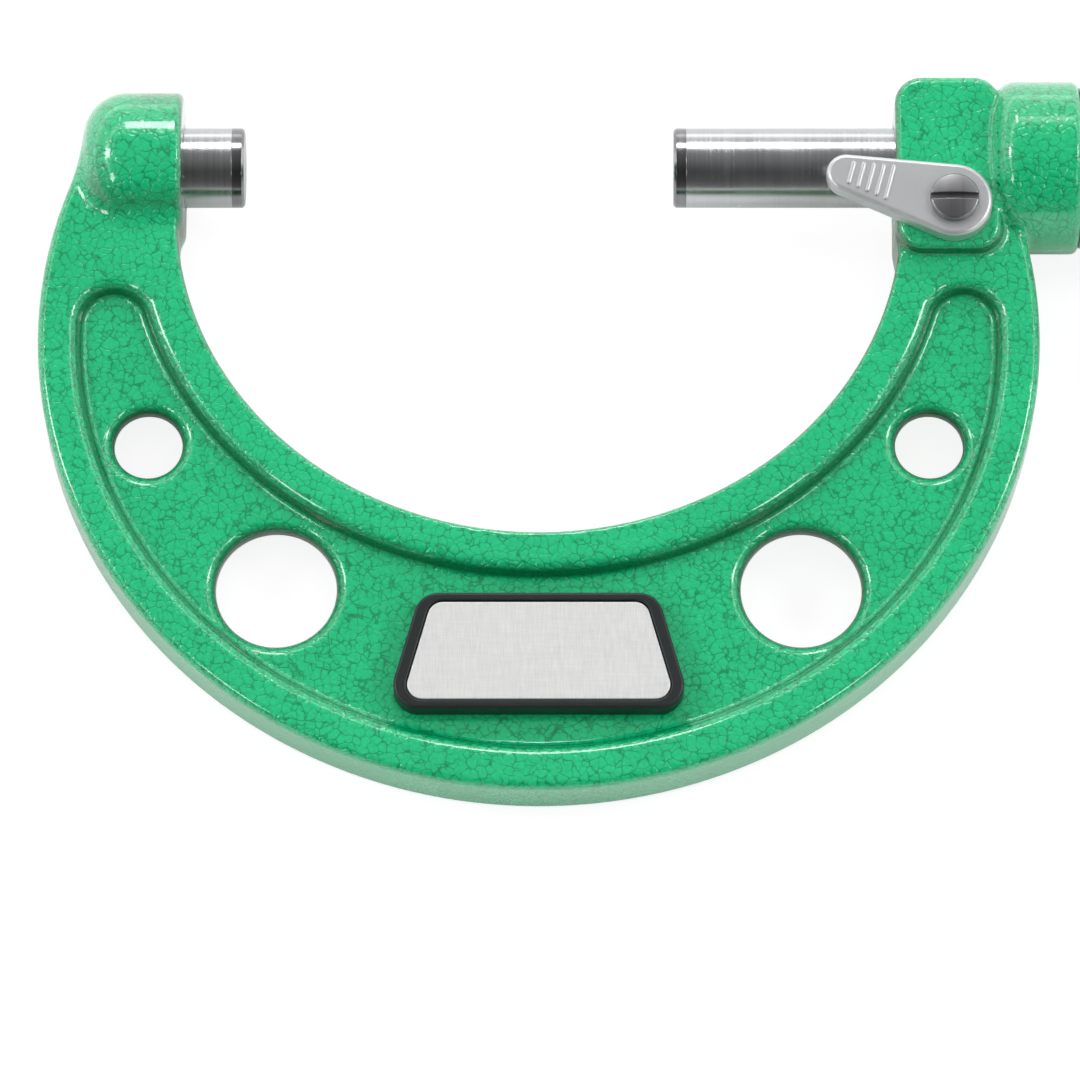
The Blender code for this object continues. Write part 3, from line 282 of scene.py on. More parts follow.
def casting(x, y, z):
    """The casting as a field: below zero inside the iron, about the distance from its skin outside."""
    height = np.abs(z)
    across = np.abs(x - FRAME_MIDDLE_X)
    side = past(ellipse_side(OUTSIDE, x, y, whole=True), y - HEAD_TOP_Y, HEAD_ROUND)
    body = past(side, height - HALF_THICKNESS, EDGE_ROUND)
    body = past(body, -ellipse_side(THROAT, x, y), THROAT_ROUND)

    wall = pocket_side(x, y)
    draft = math.radians(WALL_DRAFT)
    middle = (HALF_THICKNESS + WEB_HALF_THICKNESS) / 2
    sloped = (wall - (height - middle) * math.tan(draft)) * math.cos(draft)
    pocket = past(sloped, WEB_HALF_THICKNESS - height, FOOT_ROUND)
    body = past(body, -pocket, CREST_ROUND)
    for offset, centre_y, radius in (LARGE_HOLE, SMALL_HOLE):
        hole = np.hypot(across - offset, y - centre_y) - radius
        body = past(body, -hole, HOLE_ROUND)

    back, front, radius = ANVIL_BOSS
    rounded_x = np.maximum(back + DOME_RADIUS - x, 0.0)
    around = np.hypot(y, z)
    dome = np.hypot(np.maximum(around - (radius - DOME_RADIUS), 0.0), rounded_x) - DOME_RADIUS
    boss = past(np.where(rounded_x > 0.0, dome, around - radius), x - front, HEAD_ROUND)
    body = joined(body, boss, BOSS_FILLET)

    pad_x = (LOCK_PAD_X[0] + LOCK_PAD_X[1]) / 2
    pad_y = (LOCK_PAD_Y[0] + LOCK_PAD_Y[1]) / 2
    half_x = (LOCK_PAD_X[1] - LOCK_PAD_X[0]) / 2 - LOCK_PAD_CORNER
    half_y = (LOCK_PAD_Y[1] - LOCK_PAD_Y[0]) / 2 - LOCK_PAD_CORNER
    over_x = np.abs(x - pad_x) - half_x
    over_y = np.abs(y - pad_y) - half_y
    pad = (np.hypot(np.maximum(over_x, 0.0), np.maximum(over_y, 0.0))
           + np.minimum(np.maximum(over_x, over_y), 0.0) - LOCK_PAD_CORNER)
    pad = past(pad, height - LOCK_PAD_TOP, PAD_ROUND)
    body = joined(body, pad, PAD_FILLET)

    start, end = SLEEVE_BOSS_X
    cone = (around - SLEEVE_BOSS_RADIUS + SLEEVE_BOSS_STEP
            - (x - start) * SLEEVE_BOSS_STEP / SLEEVE_BOSS_CONE)
    cone *= math.cos(math.atan(SLEEVE_BOSS_STEP / SLEEVE_BOSS_CONE))
    collar = past(around - SLEEVE_BOSS_RADIUS, np.maximum(start - x, x - end), HEAD_ROUND)
    body = joined(body, past(collar, cone, HEAD_ROUND), HEAD_ROUND)

    anvil_bore = np.maximum(around - ANVIL_BORE[1], ANVIL_BORE[0] - x)
    anvil_bore = np.maximum(anvil_bore, x - FRAME_MIDDLE_X)
    body = past(body, -anvil_bore, BORE_ROUND)
    spindle_bore = np.maximum(around - FRAME_BORE_RADIUS, FRAME_MIDDLE_X - x)
    seat = np.maximum(around - SLEEVE_SEAT_RADIUS, SLEEVE_SEAT_X - x)
    body = past(body, -np.minimum(spindle_bore, seat), BORE_ROUND)
    lock_bore = np.hypot(x - LOCK_PIVOT[0], y - LOCK_PIVOT[1]) - LOCK_BORE_RADIUS
    return past(body, -lock_bore, BORE_ROUND)


def slope_of(field, points):
    """Direction in which a field grows, at each point."""
    reach = 0.01
    slope = np.empty_like(points)
    for axis in range(3):
        step = np.zeros(3)
        step[axis] = reach
        ahead = field(*(points + step).T)
        behind = field(*(points - step).T)
        slope[:, axis] = (ahead - behind) / (2 * reach)
    return slope


def skin(field, low, high, step):
    """Points, four-sided faces and normals over the zero surface of a field."""
    lines = [np.arange(start, end + step, step) for start, end in zip(low, high)]
    values = field(lines[0][:, None, None], lines[1][None, :, None], lines[2][None, None, :])
    values = np.where(values == 0.0, 1e-9, values)
    inside = values < 0.0
    cells = tuple(size - 1 for size in inside.shape)
    count = np.zeros(cells, np.int8)
    corners = [(i, j, k) for i in (0, 1) for j in (0, 1) for k in (0, 1)]
    for i, j, k in corners:
        count += inside[i:i + cells[0], j:j + cells[1], k:k + cells[2]]
    place = np.argwhere((count > 0) & (count < 8))
    number = np.full(cells, -1, np.int64)
    number[tuple(place.T)] = np.arange(len(place))

    total = np.zeros((len(place), 3))
    crossings = np.zeros(len(place))
    for first in corners:
        for axis in range(3):
            if first[axis]:
                continue
            second = list(first)
            second[axis] = 1
            a = values[tuple((place + first).T)]
            b = values[tuple((place + second).T)]
            crossed = (a < 0.0) != (b < 0.0)
            share = np.where(crossed, a / np.where(crossed, a - b, 1.0), 0.0)
            spot = np.tile(np.array(first, float), (len(place), 1))
            spot[:, axis] += share
            total += np.where(crossed[:, None], spot, 0.0)
            crossings += crossed
    origin = np.array([line[0] for line in lines])
    points = origin + (place + total / crossings[:, None]) * step
    for _ in range(4):
        slope = slope_of(field, points)
        value = field(*points.T)
        shift = slope * (value / np.maximum((slope ** 2).sum(1), 0.2))[:, None]
        points -= np.clip(shift, -step / 2, step / 2)

    faces = []
    for axis in range(3):
        one = np.zeros(3, int)
        one[axis] = 1
        size = np.array(inside.shape) - one
        a = inside[:size[0], :size[1], :size[2]]
        b = inside[one[0]:, one[1]:, one[2]:]
        edge = np.argwhere(a != b)
        left = (axis + 1) % 3
        right = (axis + 2) % 3
        fits = ((edge[:, left] > 0) & (edge[:, left] < cells[left])
                & (edge[:, right] > 0) & (edge[:, right] < cells[right]))
        edge = edge[fits]
        square = []
        for back_left, back_right in ((1, 1), (0, 1), (0, 0), (1, 0)):
            cell = edge.copy()
            cell[:, left] -= back_left
            cell[:, right] -= back_right
            square.append(number[tuple(cell.T)])
        square = np.stack(square, 1)
        outward = inside[tuple(edge.T)]
        square[~outward] = square[~outward][:, ::-1]
        faces.append(square)
    normals = slope_of(field, points)
    normals /= np.linalg.norm(normals, axis=1)[:, None]
    return points, np.concatenate(faces).tolist(), normals


def add_piece(name, points, faces, normals=None):
    """A mesh object from points in millimetres, smooth, with given normals where there are any."""
    mesh = bpy.data.meshes.new(name)
    mesh.from_pydata((np.asarray(points) * MM).tolist(), [], faces)
    mesh.shade_smooth()
    if normals is not None:
        mesh.normals_split_custom_set_from_vertices(normals.tolist())
    piece = bpy.data.objects.new(name, mesh)
    scene.collection.objects.link(piece)
    return piece


casting_piece = add_piece("frame_casting", *skin(casting, *CASTING_BOX, CASTING_GRID))
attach(casting_piece, "frame")
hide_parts("frame")


class Finish(Nodes):
    """The nodes of a surface finish, which varies with the place on the piece."""

    def __init__(self, name):
        self.material = bpy.data.materials.new(name)
        super().__init__(self.material)
        self.place = self.add("TexCoord").outputs["Object"]

    def times(self, first, second):
        """Two values multiplied."""
        return self.math("MULTIPLY", first, second)

    def sum(self, first, first_share, second, second_share):
        """Two values added in given shares."""
        return self.math("MULTIPLY_ADD", first, first_share, self.times(second, second_share))

    def noise(self, scale, detail=2.0, place=None, rough=0.5):
        """Soft random variation, from 0 to 1, with so many swells a metre."""
        return self.add("TexNoise", Vector=place or self.place, Scale=scale, Detail=detail,
                        Roughness=rough).outputs["Fac"]

    def stretched(self, x, y, z):
        """The place on the piece, scaled by its own factor along each axis."""
        return self.add("Mapping", Vector=self.place, Scale=(x, y, z)).outputs[0]

    def blend(self, share, first, second):
        """Two colours mixed; a share of 1 gives the second."""
        ends = {"i%d" % socket: colour if isinstance(colour, bpy.types.NodeSocket) else (*colour, 1.0)
                for socket, colour in ((6, first), (7, second))}
        return self.add("Mix", (("data_type", "RGBA"),), Factor=share, **ends).outputs[2]

    def bump(self, height, strength, depth):
        """Surface relief of a depth in millimetres."""
        return self.add("Bump", Strength=strength, Distance=depth * MM, Height=height).outputs[0]

    def ends_in(self, **inputs):
        """The shader that closes the material."""
        shader = self.add("BsdfPrincipled", **inputs)
        self.add("OutputMaterial", Surface=shader.outputs[0])
        return self.material


CELLS = {"Scale": 1500.0, "Randomness": 0.8}


def green_hammer_paint():
    """Hammer enamel: glossy green, drawn up into round cells with thin darker cracks between them."""
    paint = Finish("green_hammer_paint")
    wander = paint.add("TexNoise", Vector=paint.place, Scale=800.0, Detail=1.0).outputs["Color"]
    moved = paint.add("VectorMath", (("operation", "MULTIPLY_ADD"),), i0=wander,
                      i1=(0.0011, 0.0011, 0.0011), i2=paint.place).outputs[0]
    edge = paint.add("TexVoronoi", (("feature", "DISTANCE_TO_EDGE"),), Vector=moved,
                     **CELLS).outputs["Distance"]
    centre = paint.add("TexVoronoi", Vector=moved, **CELLS).outputs["Distance"]
    corner = paint.spread(paint.sum(centre, 1.0, paint.noise(1500.0, 2.0), 0.9), 0.80, 1.15, 0.0, 1.0)
    # Upright is 1 where the skin faces front or back. The paint runs thin on the walls, its cells are
    # flatter on the flats, and the walls of the recesses are darkened in colour as painted shade.
    upright = paint.add("SeparateXYZ", Vector=paint.add("TexCoord").outputs["Normal"]).outputs["Z"]
    upright = paint.math("ABSOLUTE", upright)
    level = paint.spread(upright, 0.15, 0.60, 0.25, 1.0)
    bead = paint.times(level, paint.spread(upright, 0.88, 0.99, 1.0, 0.42))
    crack = paint.times(paint.times(paint.spread(edge, 0.0, 0.10, 0.9, 0.0), corner), level)
    dome = paint.eased(edge, 0.0, 0.26, 0.0, 1.0)
    grain = paint.noise(3600.0, 3.0)
    tone = paint.spread(paint.sum(paint.noise(200.0), 0.4, grain, 0.6), 0.38, 0.62, 0.0, 1.0)
    base = paint.blend(tone, (0.002, 0.425, 0.160), (0.005, 0.500, 0.205))
    # Painted shade: the steep walls inside the outer rim, that is the walls of the recesses, are blended
    # towards a dark green.
    half_span, reach, centre_y = OUTSIDE
    outward = paint.add("VectorMath", (("operation", "MULTIPLY_ADD"),), i0=paint.place,
                        i1=(1.0 / (half_span * MM), 1.0 / (reach * MM), 0.0),
                        i2=(-FRAME_MIDDLE_X / half_span, -centre_y / reach, 0.0)).outputs[0]
    outward = paint.add("VectorMath", (("operation", "LENGTH"),), i0=outward).outputs["Value"]
    recess_painted_shade = paint.times(paint.spread(upright, 0.30, 0.88, 0.90, 0.0),
                         paint.spread(outward, 0.95, 0.97, 1.0, 0.0))
    base = paint.blend(recess_painted_shade, base, (0.0001, 0.055, 0.006))
    colour = paint.blend(crack, base, (0.0004, 0.18, 0.062))
    relief = paint.bump(paint.times(paint.sum(dome, 1.0, grain, 0.22), bead), 0.7, 0.060)
    return paint.ends_in(Base_Color=colour, Roughness=paint.spread(grain, 0.3, 0.7, 0.16, 0.26),
                         Normal=relief, Coat_Weight=1.0, Coat_Roughness=0.06)


casting_piece.data.materials.append(green_hammer_paint())

# Anvil
# A ground steel pin pressed into the left boss, with a lapped carbide disc brazed on its face.
ANVIL_BACK = -12.13
ANVIL_RADIUS = 3.25
TIP_THICKNESS = 1.0
TIP_CHAMFER = 0.2
ROUND_STEPS = 144


def softened(outline, closed):
    """Points and normals along a turned outline of (station, radius, rounding), metal on its right."""
    count = len(outline)
    corners = [np.array(entry[:2], float) for entry in outline]
    points = []
    normals = []
    for index, (station, radius, rounding) in enumerate(outline):
        here = corners[index]
        before = corners[index - 1] if closed or index else None
        after = corners[(index + 1) % count] if closed or index < count - 1 else None
        if before is None or after is None:
            way = after - here if before is None else here - before
            way /= np.hypot(*way)
            points.append(here)
            normals.append((-way[1], way[0]))
            continue
        come = (here - before) / np.hypot(*(here - before))
        leave = (after - here) / np.hypot(*(after - here))
        bend = math.atan2(come[0] * leave[1] - come[1] * leave[0], come @ leave)
        start = here - come * rounding * math.tan(abs(bend) / 2)
        side = -math.copysign(1.0, bend)
        centre = start - side * rounding * np.array((-come[1], come[0]))
        steps = max(2, math.ceil(abs(bend) / 0.4))
        for step in range(steps + 1):
            turn = bend * step / steps
            way = (come[0] * math.cos(turn) - come[1] * math.sin(turn),
                   come[0] * math.sin(turn) + come[1] * math.cos(turn))
            normal = np.array((-way[1], way[0]))
            points.append(centre + side * rounding * normal)
            normals.append(normal)
    return np.array(points), np.array(normals)


def turned(outline, closed=False, steps=ROUND_STEPS):
    """Points, faces and normals of a piece turned about the X axis."""
    profile, slopes = softened(outline, closed)
    angles = np.arange(steps) * math.tau / steps
    points = []
    normals = []
    faces = []
    rings = []
    for (station, radius), (along, out) in zip(profile, slopes):
        count = steps if radius > 1e-6 else 1
        rings.append(range(len(points), len(points) + count))
        for angle in angles[:count]:
            points.append((station, radius * math.cos(angle), radius * math.sin(angle)))
            normals.append((along, out * math.cos(angle), out * math.sin(angle)) if count > 1
                           else (math.copysign(1.0, along), 0.0, 0.0))
    pairs = list(zip(rings, rings[1:])) + ([(rings[-1], rings[0])] if closed else [])
    for left, right in pairs:
        for here in range(steps):
            there = (here + 1) % steps
            if len(left) == 1:
                faces.append((left[0], right[there], right[here]))
            elif len(right) == 1:
                faces.append((right[0], left[here], left[there]))
            else:
                faces.append((left[here], left[there], right[there], right[here]))
    return np.array(points), faces, np.array(normals)


def ground_metal(name, colour, shade, roughness, rings, relief=0.004):
    """Metal finished in a grinder: fine rings round the X axis, a little uneven in tone and gloss."""
    metal = Finish(name)
    lines = metal.noise(1.0, 3.0, metal.stretched(rings, 90.0, 90.0))
    cloud = metal.noise(260.0, 3.0)
    tone = metal.blend(metal.spread(metal.sum(lines, 0.6, cloud, 0.4), 0.3, 0.7, 0.0, 1.0), shade, colour)
    gloss = metal.spread(metal.sum(lines, 0.5, cloud, 0.5), 0.3, 0.7, roughness - 0.05, roughness + 0.07)
    return metal.ends_in(Base_Color=tone, Metallic=1.0, Roughness=gloss,
                         Normal=metal.bump(lines, 0.5, relief))


def dress(piece, material, body, slot, *nodes):
    """Gives a piece its material and its body, and hides the solids that it stands for; the slot is not
    used.
    """
    piece.data.materials.append(material)
    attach(piece, body)
    if nodes:
        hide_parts(*nodes)


ground_steel = ground_metal("ground_steel", (0.60, 0.61, 0.62), (0.50, 0.51, 0.52), 0.22, 5200.0)
carbide = ground_metal("lapped_carbide", (0.30, 0.30, 0.31), (0.22, 0.22, 0.23), 0.17, 2600.0, 0.002)
anvil = add_piece("anvil_pin", *turned([
    (ANVIL_BACK, 0.0, 0.0), (ANVIL_BACK, ANVIL_RADIUS, 0.2), (-TIP_THICKNESS, ANVIL_RADIUS, 0.03),
    (-TIP_THICKNESS, 0.0, 0.0)]))
dress(anvil, ground_steel, "frame", "ground_steel", "anvil")
anvil_tip = add_piece("anvil_carbide", *turned([
    (-TIP_THICKNESS, 0.0, 0.0), (-TIP_THICKNESS, ANVIL_RADIUS, 0.03),
    (-TIP_CHAMFER, ANVIL_RADIUS, 0.05), (0.0, ANVIL_RADIUS - TIP_CHAMFER, 0.05), (0.0, 0.0, 0.0)]))
dress(anvil_tip, carbide, "frame", "carbide", "anvil_tip")

# Name plate
# A brushed metal plate, left bare, sits in the recess of a black moulded surround.
# The surround is glued to the web between the two rims.
PLATE_CENTRE = (24.0, -42.23)
BEZEL_HALF_WIDTH = 12.22
BEZEL_HEIGHT = 9.64
BEZEL_LEAN = 15.9
BEZEL_CORNER = 2.0
BEZEL_BOTTOM = 1.35
BEZEL_TOP = 3.35
BEZEL_EDGE = 0.25
BORDER_ENDS = 0.64
BORDER_SIDES = 0.99
RECESS_FLOOR = 2.75
RECESS_EDGE = 0.12
FLOOR_FILLET = 0.05
PLATE_TOP = 3.25
PLATE_GAP = 0.12
PLATE_EDGE = 0.12


def arc_run(centre, radius, start, end, steps):
    """Points along an arc, and the outward direction at each."""
    turns = np.radians(np.linspace(start, end, steps + 1))
    ways = np.stack((np.cos(turns), np.sin(turns)), 1)
    return np.array(centre) + radius * ways, ways


def trapezoid(half_width, height, corner):
    """A plate outline that is wider at the bottom, with round corners, and its outward directions."""
    lean = math.radians(BEZEL_LEAN)
    low = (half_width - corner * math.tan(lean) - corner / math.cos(lean), corner - height / 2)
    high = (half_width - (height - corner) * math.tan(lean) - corner / math.cos(lean), height / 2 - corner)
    lower = arc_run(low, corner, -90.0, BEZEL_LEAN, 14)
    upper = arc_run(high, corner, BEZEL_LEAN, 90.0, 10)
    points, ways = (np.concatenate(pair) for pair in zip(lower, upper))
    mirror = np.array((-1.0, 1.0))
    return (np.concatenate((points, points[::-1] * mirror)) + PLATE_CENTRE,
            np.concatenate((ways, ways[::-1] * mirror)))


def lofted(rings):
    """A closed piece through rings of (outline, inset, height, tilt of the skin in degrees), with caps."""
    points = []
    normals = []
    for (outline, ways), inset, height, tilt in rings:
        turn = math.radians(tilt)
        place = outline - ways * inset
        points.append(np.column_stack((place, np.full(len(place), height))))
        normals.append(np.column_stack((ways * math.cos(turn), np.full(len(place), math.sin(turn)))))
    size = len(points[0])
    last = (len(rings) - 1) * size
    faces = [(first + here, first + (here + 1) % size, first + size + (here + 1) % size, first + size + here)
             for first in range(0, last, size) for here in range(size)]
    faces += [tuple(range(size - 1, -1, -1)), tuple(range(last, last + size))]
    return np.concatenate(points), faces, np.concatenate(normals)


def outer_edge(outline, inset, level, radius, start, end, steps=4):
    """Rings round a convex edge whose skin tilts from one angle to another."""
    rings = []
    for tilt in np.linspace(start, end, steps + 1):
        turn = math.radians(tilt)
        rings.append((outline, inset + radius * (1.0 - math.cos(turn)),
                      level + radius * math.sin(turn), tilt))
    return rings


outer_line = trapezoid(BEZEL_HALF_WIDTH, BEZEL_HEIGHT, BEZEL_CORNER)
lean = math.radians(BEZEL_LEAN)
recess_half = BEZEL_HALF_WIDTH - BORDER_ENDS * math.tan(lean) - BORDER_SIDES / math.cos(lean)
recess_height = BEZEL_HEIGHT - 2 * BORDER_ENDS
inner_line = trapezoid(recess_half, recess_height, BEZEL_CORNER - BORDER_ENDS)
bezel_rings = outer_edge(outer_line, 0.0, BEZEL_BOTTOM + 0.1, 0.1, -90.0, 0.0, 3)
bezel_rings += outer_edge(outer_line, 0.0, BEZEL_TOP - BEZEL_EDGE, BEZEL_EDGE, 0.0, 90.0)
bezel_rings += outer_edge(inner_line, -2 * RECESS_EDGE, BEZEL_TOP - RECESS_EDGE, RECESS_EDGE, 90.0, 180.0)
bezel_rings += [(inner_line, FLOOR_FILLET * (1.0 + math.cos(math.radians(tilt))),
                 RECESS_FLOOR + FLOOR_FILLET * (1.0 - math.sin(math.radians(tilt))), tilt)
                for tilt in (180.0, 150.0, 120.0, 90.0)]
bezel = add_piece("plate_surround", *lofted(bezel_rings))
plastic = Finish("black_moulding")
pits = plastic.noise(9000.0, 2.0)
dress(bezel, plastic.ends_in(
    Base_Color=plastic.blend(plastic.noise(700.0, 3.0), (0.0065, 0.0095, 0.0095), (0.011, 0.015, 0.015)),
    Roughness=plastic.spread(pits, 0.3, 0.7, 0.34, 0.46), Normal=plastic.bump(pits, 0.5, 0.006)),
    "frame", "black_plastic", "label_bezel")

plate_line = trapezoid(recess_half - PLATE_GAP, recess_height - 2 * PLATE_GAP,
                       BEZEL_CORNER - BORDER_ENDS - PLATE_GAP)
plate = add_piece("bare_plate", *lofted(
    [(plate_line, 0.0, RECESS_FLOOR, 0.0)]
    + outer_edge(plate_line, 0.0, PLATE_TOP - PLATE_EDGE, PLATE_EDGE, 0.0, 90.0)))
brushed = Finish("brushed_plate")
strokes = brushed.noise(1.0, 3.0, brushed.stretched(14000.0, 700.0, 700.0), 0.65)
cross = brushed.noise(1.0, 2.0, brushed.stretched(500.0, 6000.0, 500.0))
plate_tone = brushed.spread(brushed.sum(strokes, 0.75, cross, 0.25), 0.36, 0.64, 0.0, 1.0)
dress(plate, brushed.ends_in(
    Base_Color=brushed.blend(plate_tone, (0.70, 0.71, 0.71), (0.82, 0.82, 0.80)), Metallic=0.6,
    Roughness=brushed.spread(strokes, 0.3, 0.7, 0.40, 0.50), Anisotropic=0.4,
    Tangent=brushed.add("CombineXYZ", X=1.0).outputs[0], Normal=brushed.bump(strokes, 0.25, 0.003)),
    "frame", "brushed_plate", "label_plate")

# Sleeves
# A hardened inner tube, pressed into the right boss, guides the spindle and carries the nut thread.
# The satin chromed outer sleeve over it is engraved with the main scale, in whole and half millimetres.
SLEEVE_START = 68.03
SLEEVE_END = 100.98
SLEEVE_RADIUS = 6.57
SLEEVE_BORE = 5.57
SCALE_START = 74.48
SCALE_FIRST = 25
SCALE_LAST = 50
LINE_WIDTH = 0.14
LINE_STEP = 0.25
ENGRAVING_PROUD = 0.012
ENGRAVING_SUNK = -0.03
NUMBER_STRIPS = 8


def satin_metal(name, colour, shade, roughness):
    """Satin chrome: an even, very fine grain with a faint cloud in it."""
    metal = Finish(name)
    grain = metal.noise(11000.0, 2.0)
    cloud = metal.noise(300.0, 3.0)
    tone = metal.blend(metal.spread(metal.sum(grain, 0.5, cloud, 0.5), 0.3, 0.7, 0.0, 1.0), shade, colour)
    return metal.ends_in(Base_Color=tone, Metallic=0.78,
                         Roughness=metal.spread(grain, 0.3, 0.7, roughness - 0.05, roughness + 0.06),
                         Normal=metal.bump(grain, 0.4, 0.005))


satin_chrome = satin_metal("satin_chrome", (0.66, 0.67, 0.68), (0.56, 0.57, 0.58), 0.36)
sleeve = add_piece("graduated_sleeve", *turned([
    (SLEEVE_START, SLEEVE_BORE, 0.1), (SLEEVE_START, SLEEVE_RADIUS, 0.15),
    (SLEEVE_END, SLEEVE_RADIUS, 0.2), (SLEEVE_END, SLEEVE_BORE, 0.1)], closed=True))
dress(sleeve, satin_chrome, "frame", "satin_chrome", "outer_sleeve")


def wrapped(points, radius_at, station, turn):
    """Flat points laid round a turned surface: right runs along X, up runs round it towards the top."""
    placed = []
    for right, up, proud in points:
        radius = radius_at(station + right)
        angle = turn + up / radius
        out = radius + proud
        placed.append((station + right, out * math.sin(angle), out * math.cos(angle)))
    return placed


def engraved_line(left, right, low, high, radius_at, turn=0.0):
    """A short filled line, as a thin bar that follows the curve and stands just proud of the metal."""
    steps = max(1, math.ceil((high - low) / LINE_STEP))
    section = ((left, ENGRAVING_SUNK), (right, ENGRAVING_SUNK),
               (right, ENGRAVING_PROUD), (left, ENGRAVING_PROUD))
    bar = [(x, low + (high - low) * step / steps, z) for step in range(steps + 1) for x, z in section]
    faces = [(0, 1, 2, 3), (4 * steps + 3, 4 * steps + 2, 4 * steps + 1, 4 * steps)]
    for first in range(0, 4 * steps, 4):
        for here, there in ((0, 1), (1, 2), (2, 3), (3, 0)):
            faces.append((first + there, first + here, first + here + 4, first + there + 4))
    return wrapped(bar, radius_at, 0.0, turn), faces


def engraved_number(text, height, station, rise, radius_at, turn=0.0):
    """A number in the built-in typeface, cut in strips and bent round the metal, centred at a place."""
    curve = bpy.data.curves.new("number", "FONT")
    curve.body = text
    curve.align_x = "CENTER"
    curve.extrude = 0.5
    curve.resolution_u = 3
    holder = bpy.data.objects.new("number", curve)
    scene.collection.objects.link(holder)
    flat = bpy.data.meshes.new_from_object(holder.evaluated_get(bpy.context.evaluated_depsgraph_get()))
    shape = bmesh.new()
    shape.from_mesh(flat)
    bpy.data.meshes.remove(flat)
    bpy.data.objects.remove(holder)
    bpy.data.curves.remove(curve)
    bmesh.ops.remove_doubles(shape, verts=shape.verts, dist=1e-5)
    low = min(vert.co.y for vert in shape.verts)
    high = max(vert.co.y for vert in shape.verts)
    for cut in range(1, NUMBER_STRIPS):
        level = low + (high - low) * cut / NUMBER_STRIPS
        bmesh.ops.bisect_plane(shape, geom=shape.verts[:] + shape.edges[:] + shape.faces[:],
                               plane_co=(0.0, level, 0.0), plane_no=(0.0, 1.0, 0.0))
    bmesh.ops.remove_doubles(shape, verts=shape.verts, dist=0.004)
    scale = height / (high - low)
    points = [(vert.co.x * scale, (vert.co.y - (low + high) / 2) * scale + rise,
               ENGRAVING_PROUD if vert.co.z > 0.0 else ENGRAVING_SUNK) for vert in shape.verts]
    shape.verts.index_update()
    faces = [tuple(vert.index for vert in face.verts) for face in shape.faces]
    shape.free()
    return wrapped(points, radius_at, station, turn), faces


def engraving(name, marks, body):
    """One piece of all the black lines and numbers on a surface."""
    points = []
    faces = []
    for mark_points, mark_faces in marks:
        faces += [tuple(index + len(points) for index in face) for face in mark_faces]
        points += mark_points
    piece = add_piece(name, points, faces)
    piece.data.shade_flat()
    dress(piece, engraving_ink, body, "dark_steel")


ink = Finish("engraving_ink")
ink_grain = ink.noise(14000.0, 2.0)
engraving_ink = ink.ends_in(
    Base_Color=ink.blend(ink_grain, (0.006, 0.006, 0.007), (0.018, 0.018, 0.019)),
    Roughness=ink.spread(ink_grain, 0.3, 0.7, 0.45, 0.62), Normal=ink.bump(ink_grain, 0.4, 0.004))


def sleeve_surface(station):
    """The sleeve is a plain cylinder."""
    return SLEEVE_RADIUS


sleeve_marks = [engraved_line(SCALE_START - 0.6, SCALE_START + SCALE_LAST - SCALE_FIRST + 0.6,
                              -LINE_WIDTH / 2, LINE_WIDTH / 2, sleeve_surface)]
for half_step in range(2 * (SCALE_LAST - SCALE_FIRST) + 1):
    station = SCALE_START + half_step / 2
    left = station - LINE_WIDTH / 2
    right = station + LINE_WIDTH / 2
    if half_step % 2:
        sleeve_marks.append(engraved_line(left, right, -1.2, -0.1, sleeve_surface))
    else:
        tall = 2.2 if half_step % 10 == 0 else 1.4
        sleeve_marks.append(engraved_line(left, right, 0.1, tall, sleeve_surface))
    if half_step % 10 == 0:
        sleeve_marks.append(engraved_number(str(SCALE_FIRST + half_step // 2), 1.5, station, 3.3,
                                            sleeve_surface))
engraving("sleeve_scale", sleeve_marks, "frame")
dark_steel = ground_metal("turned_dark_steel", (0.30, 0.30, 0.31), (0.22, 0.22, 0.23), 0.36, 3600.0)


def refinish(material, *nodes):
    """Gives solids that stay as they are a finish of their own."""
    for node in nodes:
        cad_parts[node].material_slots[0].material = material


refinish(dark_steel, "inner_sleeve", "adjusting_nut")

# Spindle
# A ground steel rod with a fine thread hidden in the sleeves and a carbide disc on its face.
# The thimble is clamped on its cone, at a reading of 35.00 mm.
READING = 35.0
SPINDLE_RADIUS = 3.25
THREAD_START = 82.98
THREAD_RADIUS = 3.5
NECK_START = 121.48
NECK_RADIUS = 3.05
CONE_START = 121.98
CONE_RADII = (3.4, 2.82)
SPINDLE_END = 126.88

spindle_tip = add_piece("spindle_carbide", *turned([
    (READING, 0.0, 0.0), (READING, SPINDLE_RADIUS - TIP_CHAMFER, 0.05),
    (READING + TIP_CHAMFER, SPINDLE_RADIUS, 0.05), (READING + TIP_THICKNESS, SPINDLE_RADIUS, 0.03),
    (READING + TIP_THICKNESS, 0.0, 0.0)]))
dress(spindle_tip, carbide, "spindle", "carbide", "spindle_tip")
spindle = add_piece("spindle_rod", *turned([
    (READING + TIP_THICKNESS, 0.0, 0.0), (READING + TIP_THICKNESS, SPINDLE_RADIUS, 0.03),
    (THREAD_START, SPINDLE_RADIUS, 0.03), (THREAD_START, THREAD_RADIUS, 0.05),
    (NECK_START, THREAD_RADIUS, 0.05), (NECK_START, NECK_RADIUS, 0.05),
    (CONE_START, NECK_RADIUS, 0.05), (CONE_START, CONE_RADII[0], 0.05),
    (SPINDLE_END, CONE_RADII[1], 0.05), (SPINDLE_END, 0.0, 0.0)]))
dress(spindle, ground_steel, "spindle", "ground_steel", "spindle")

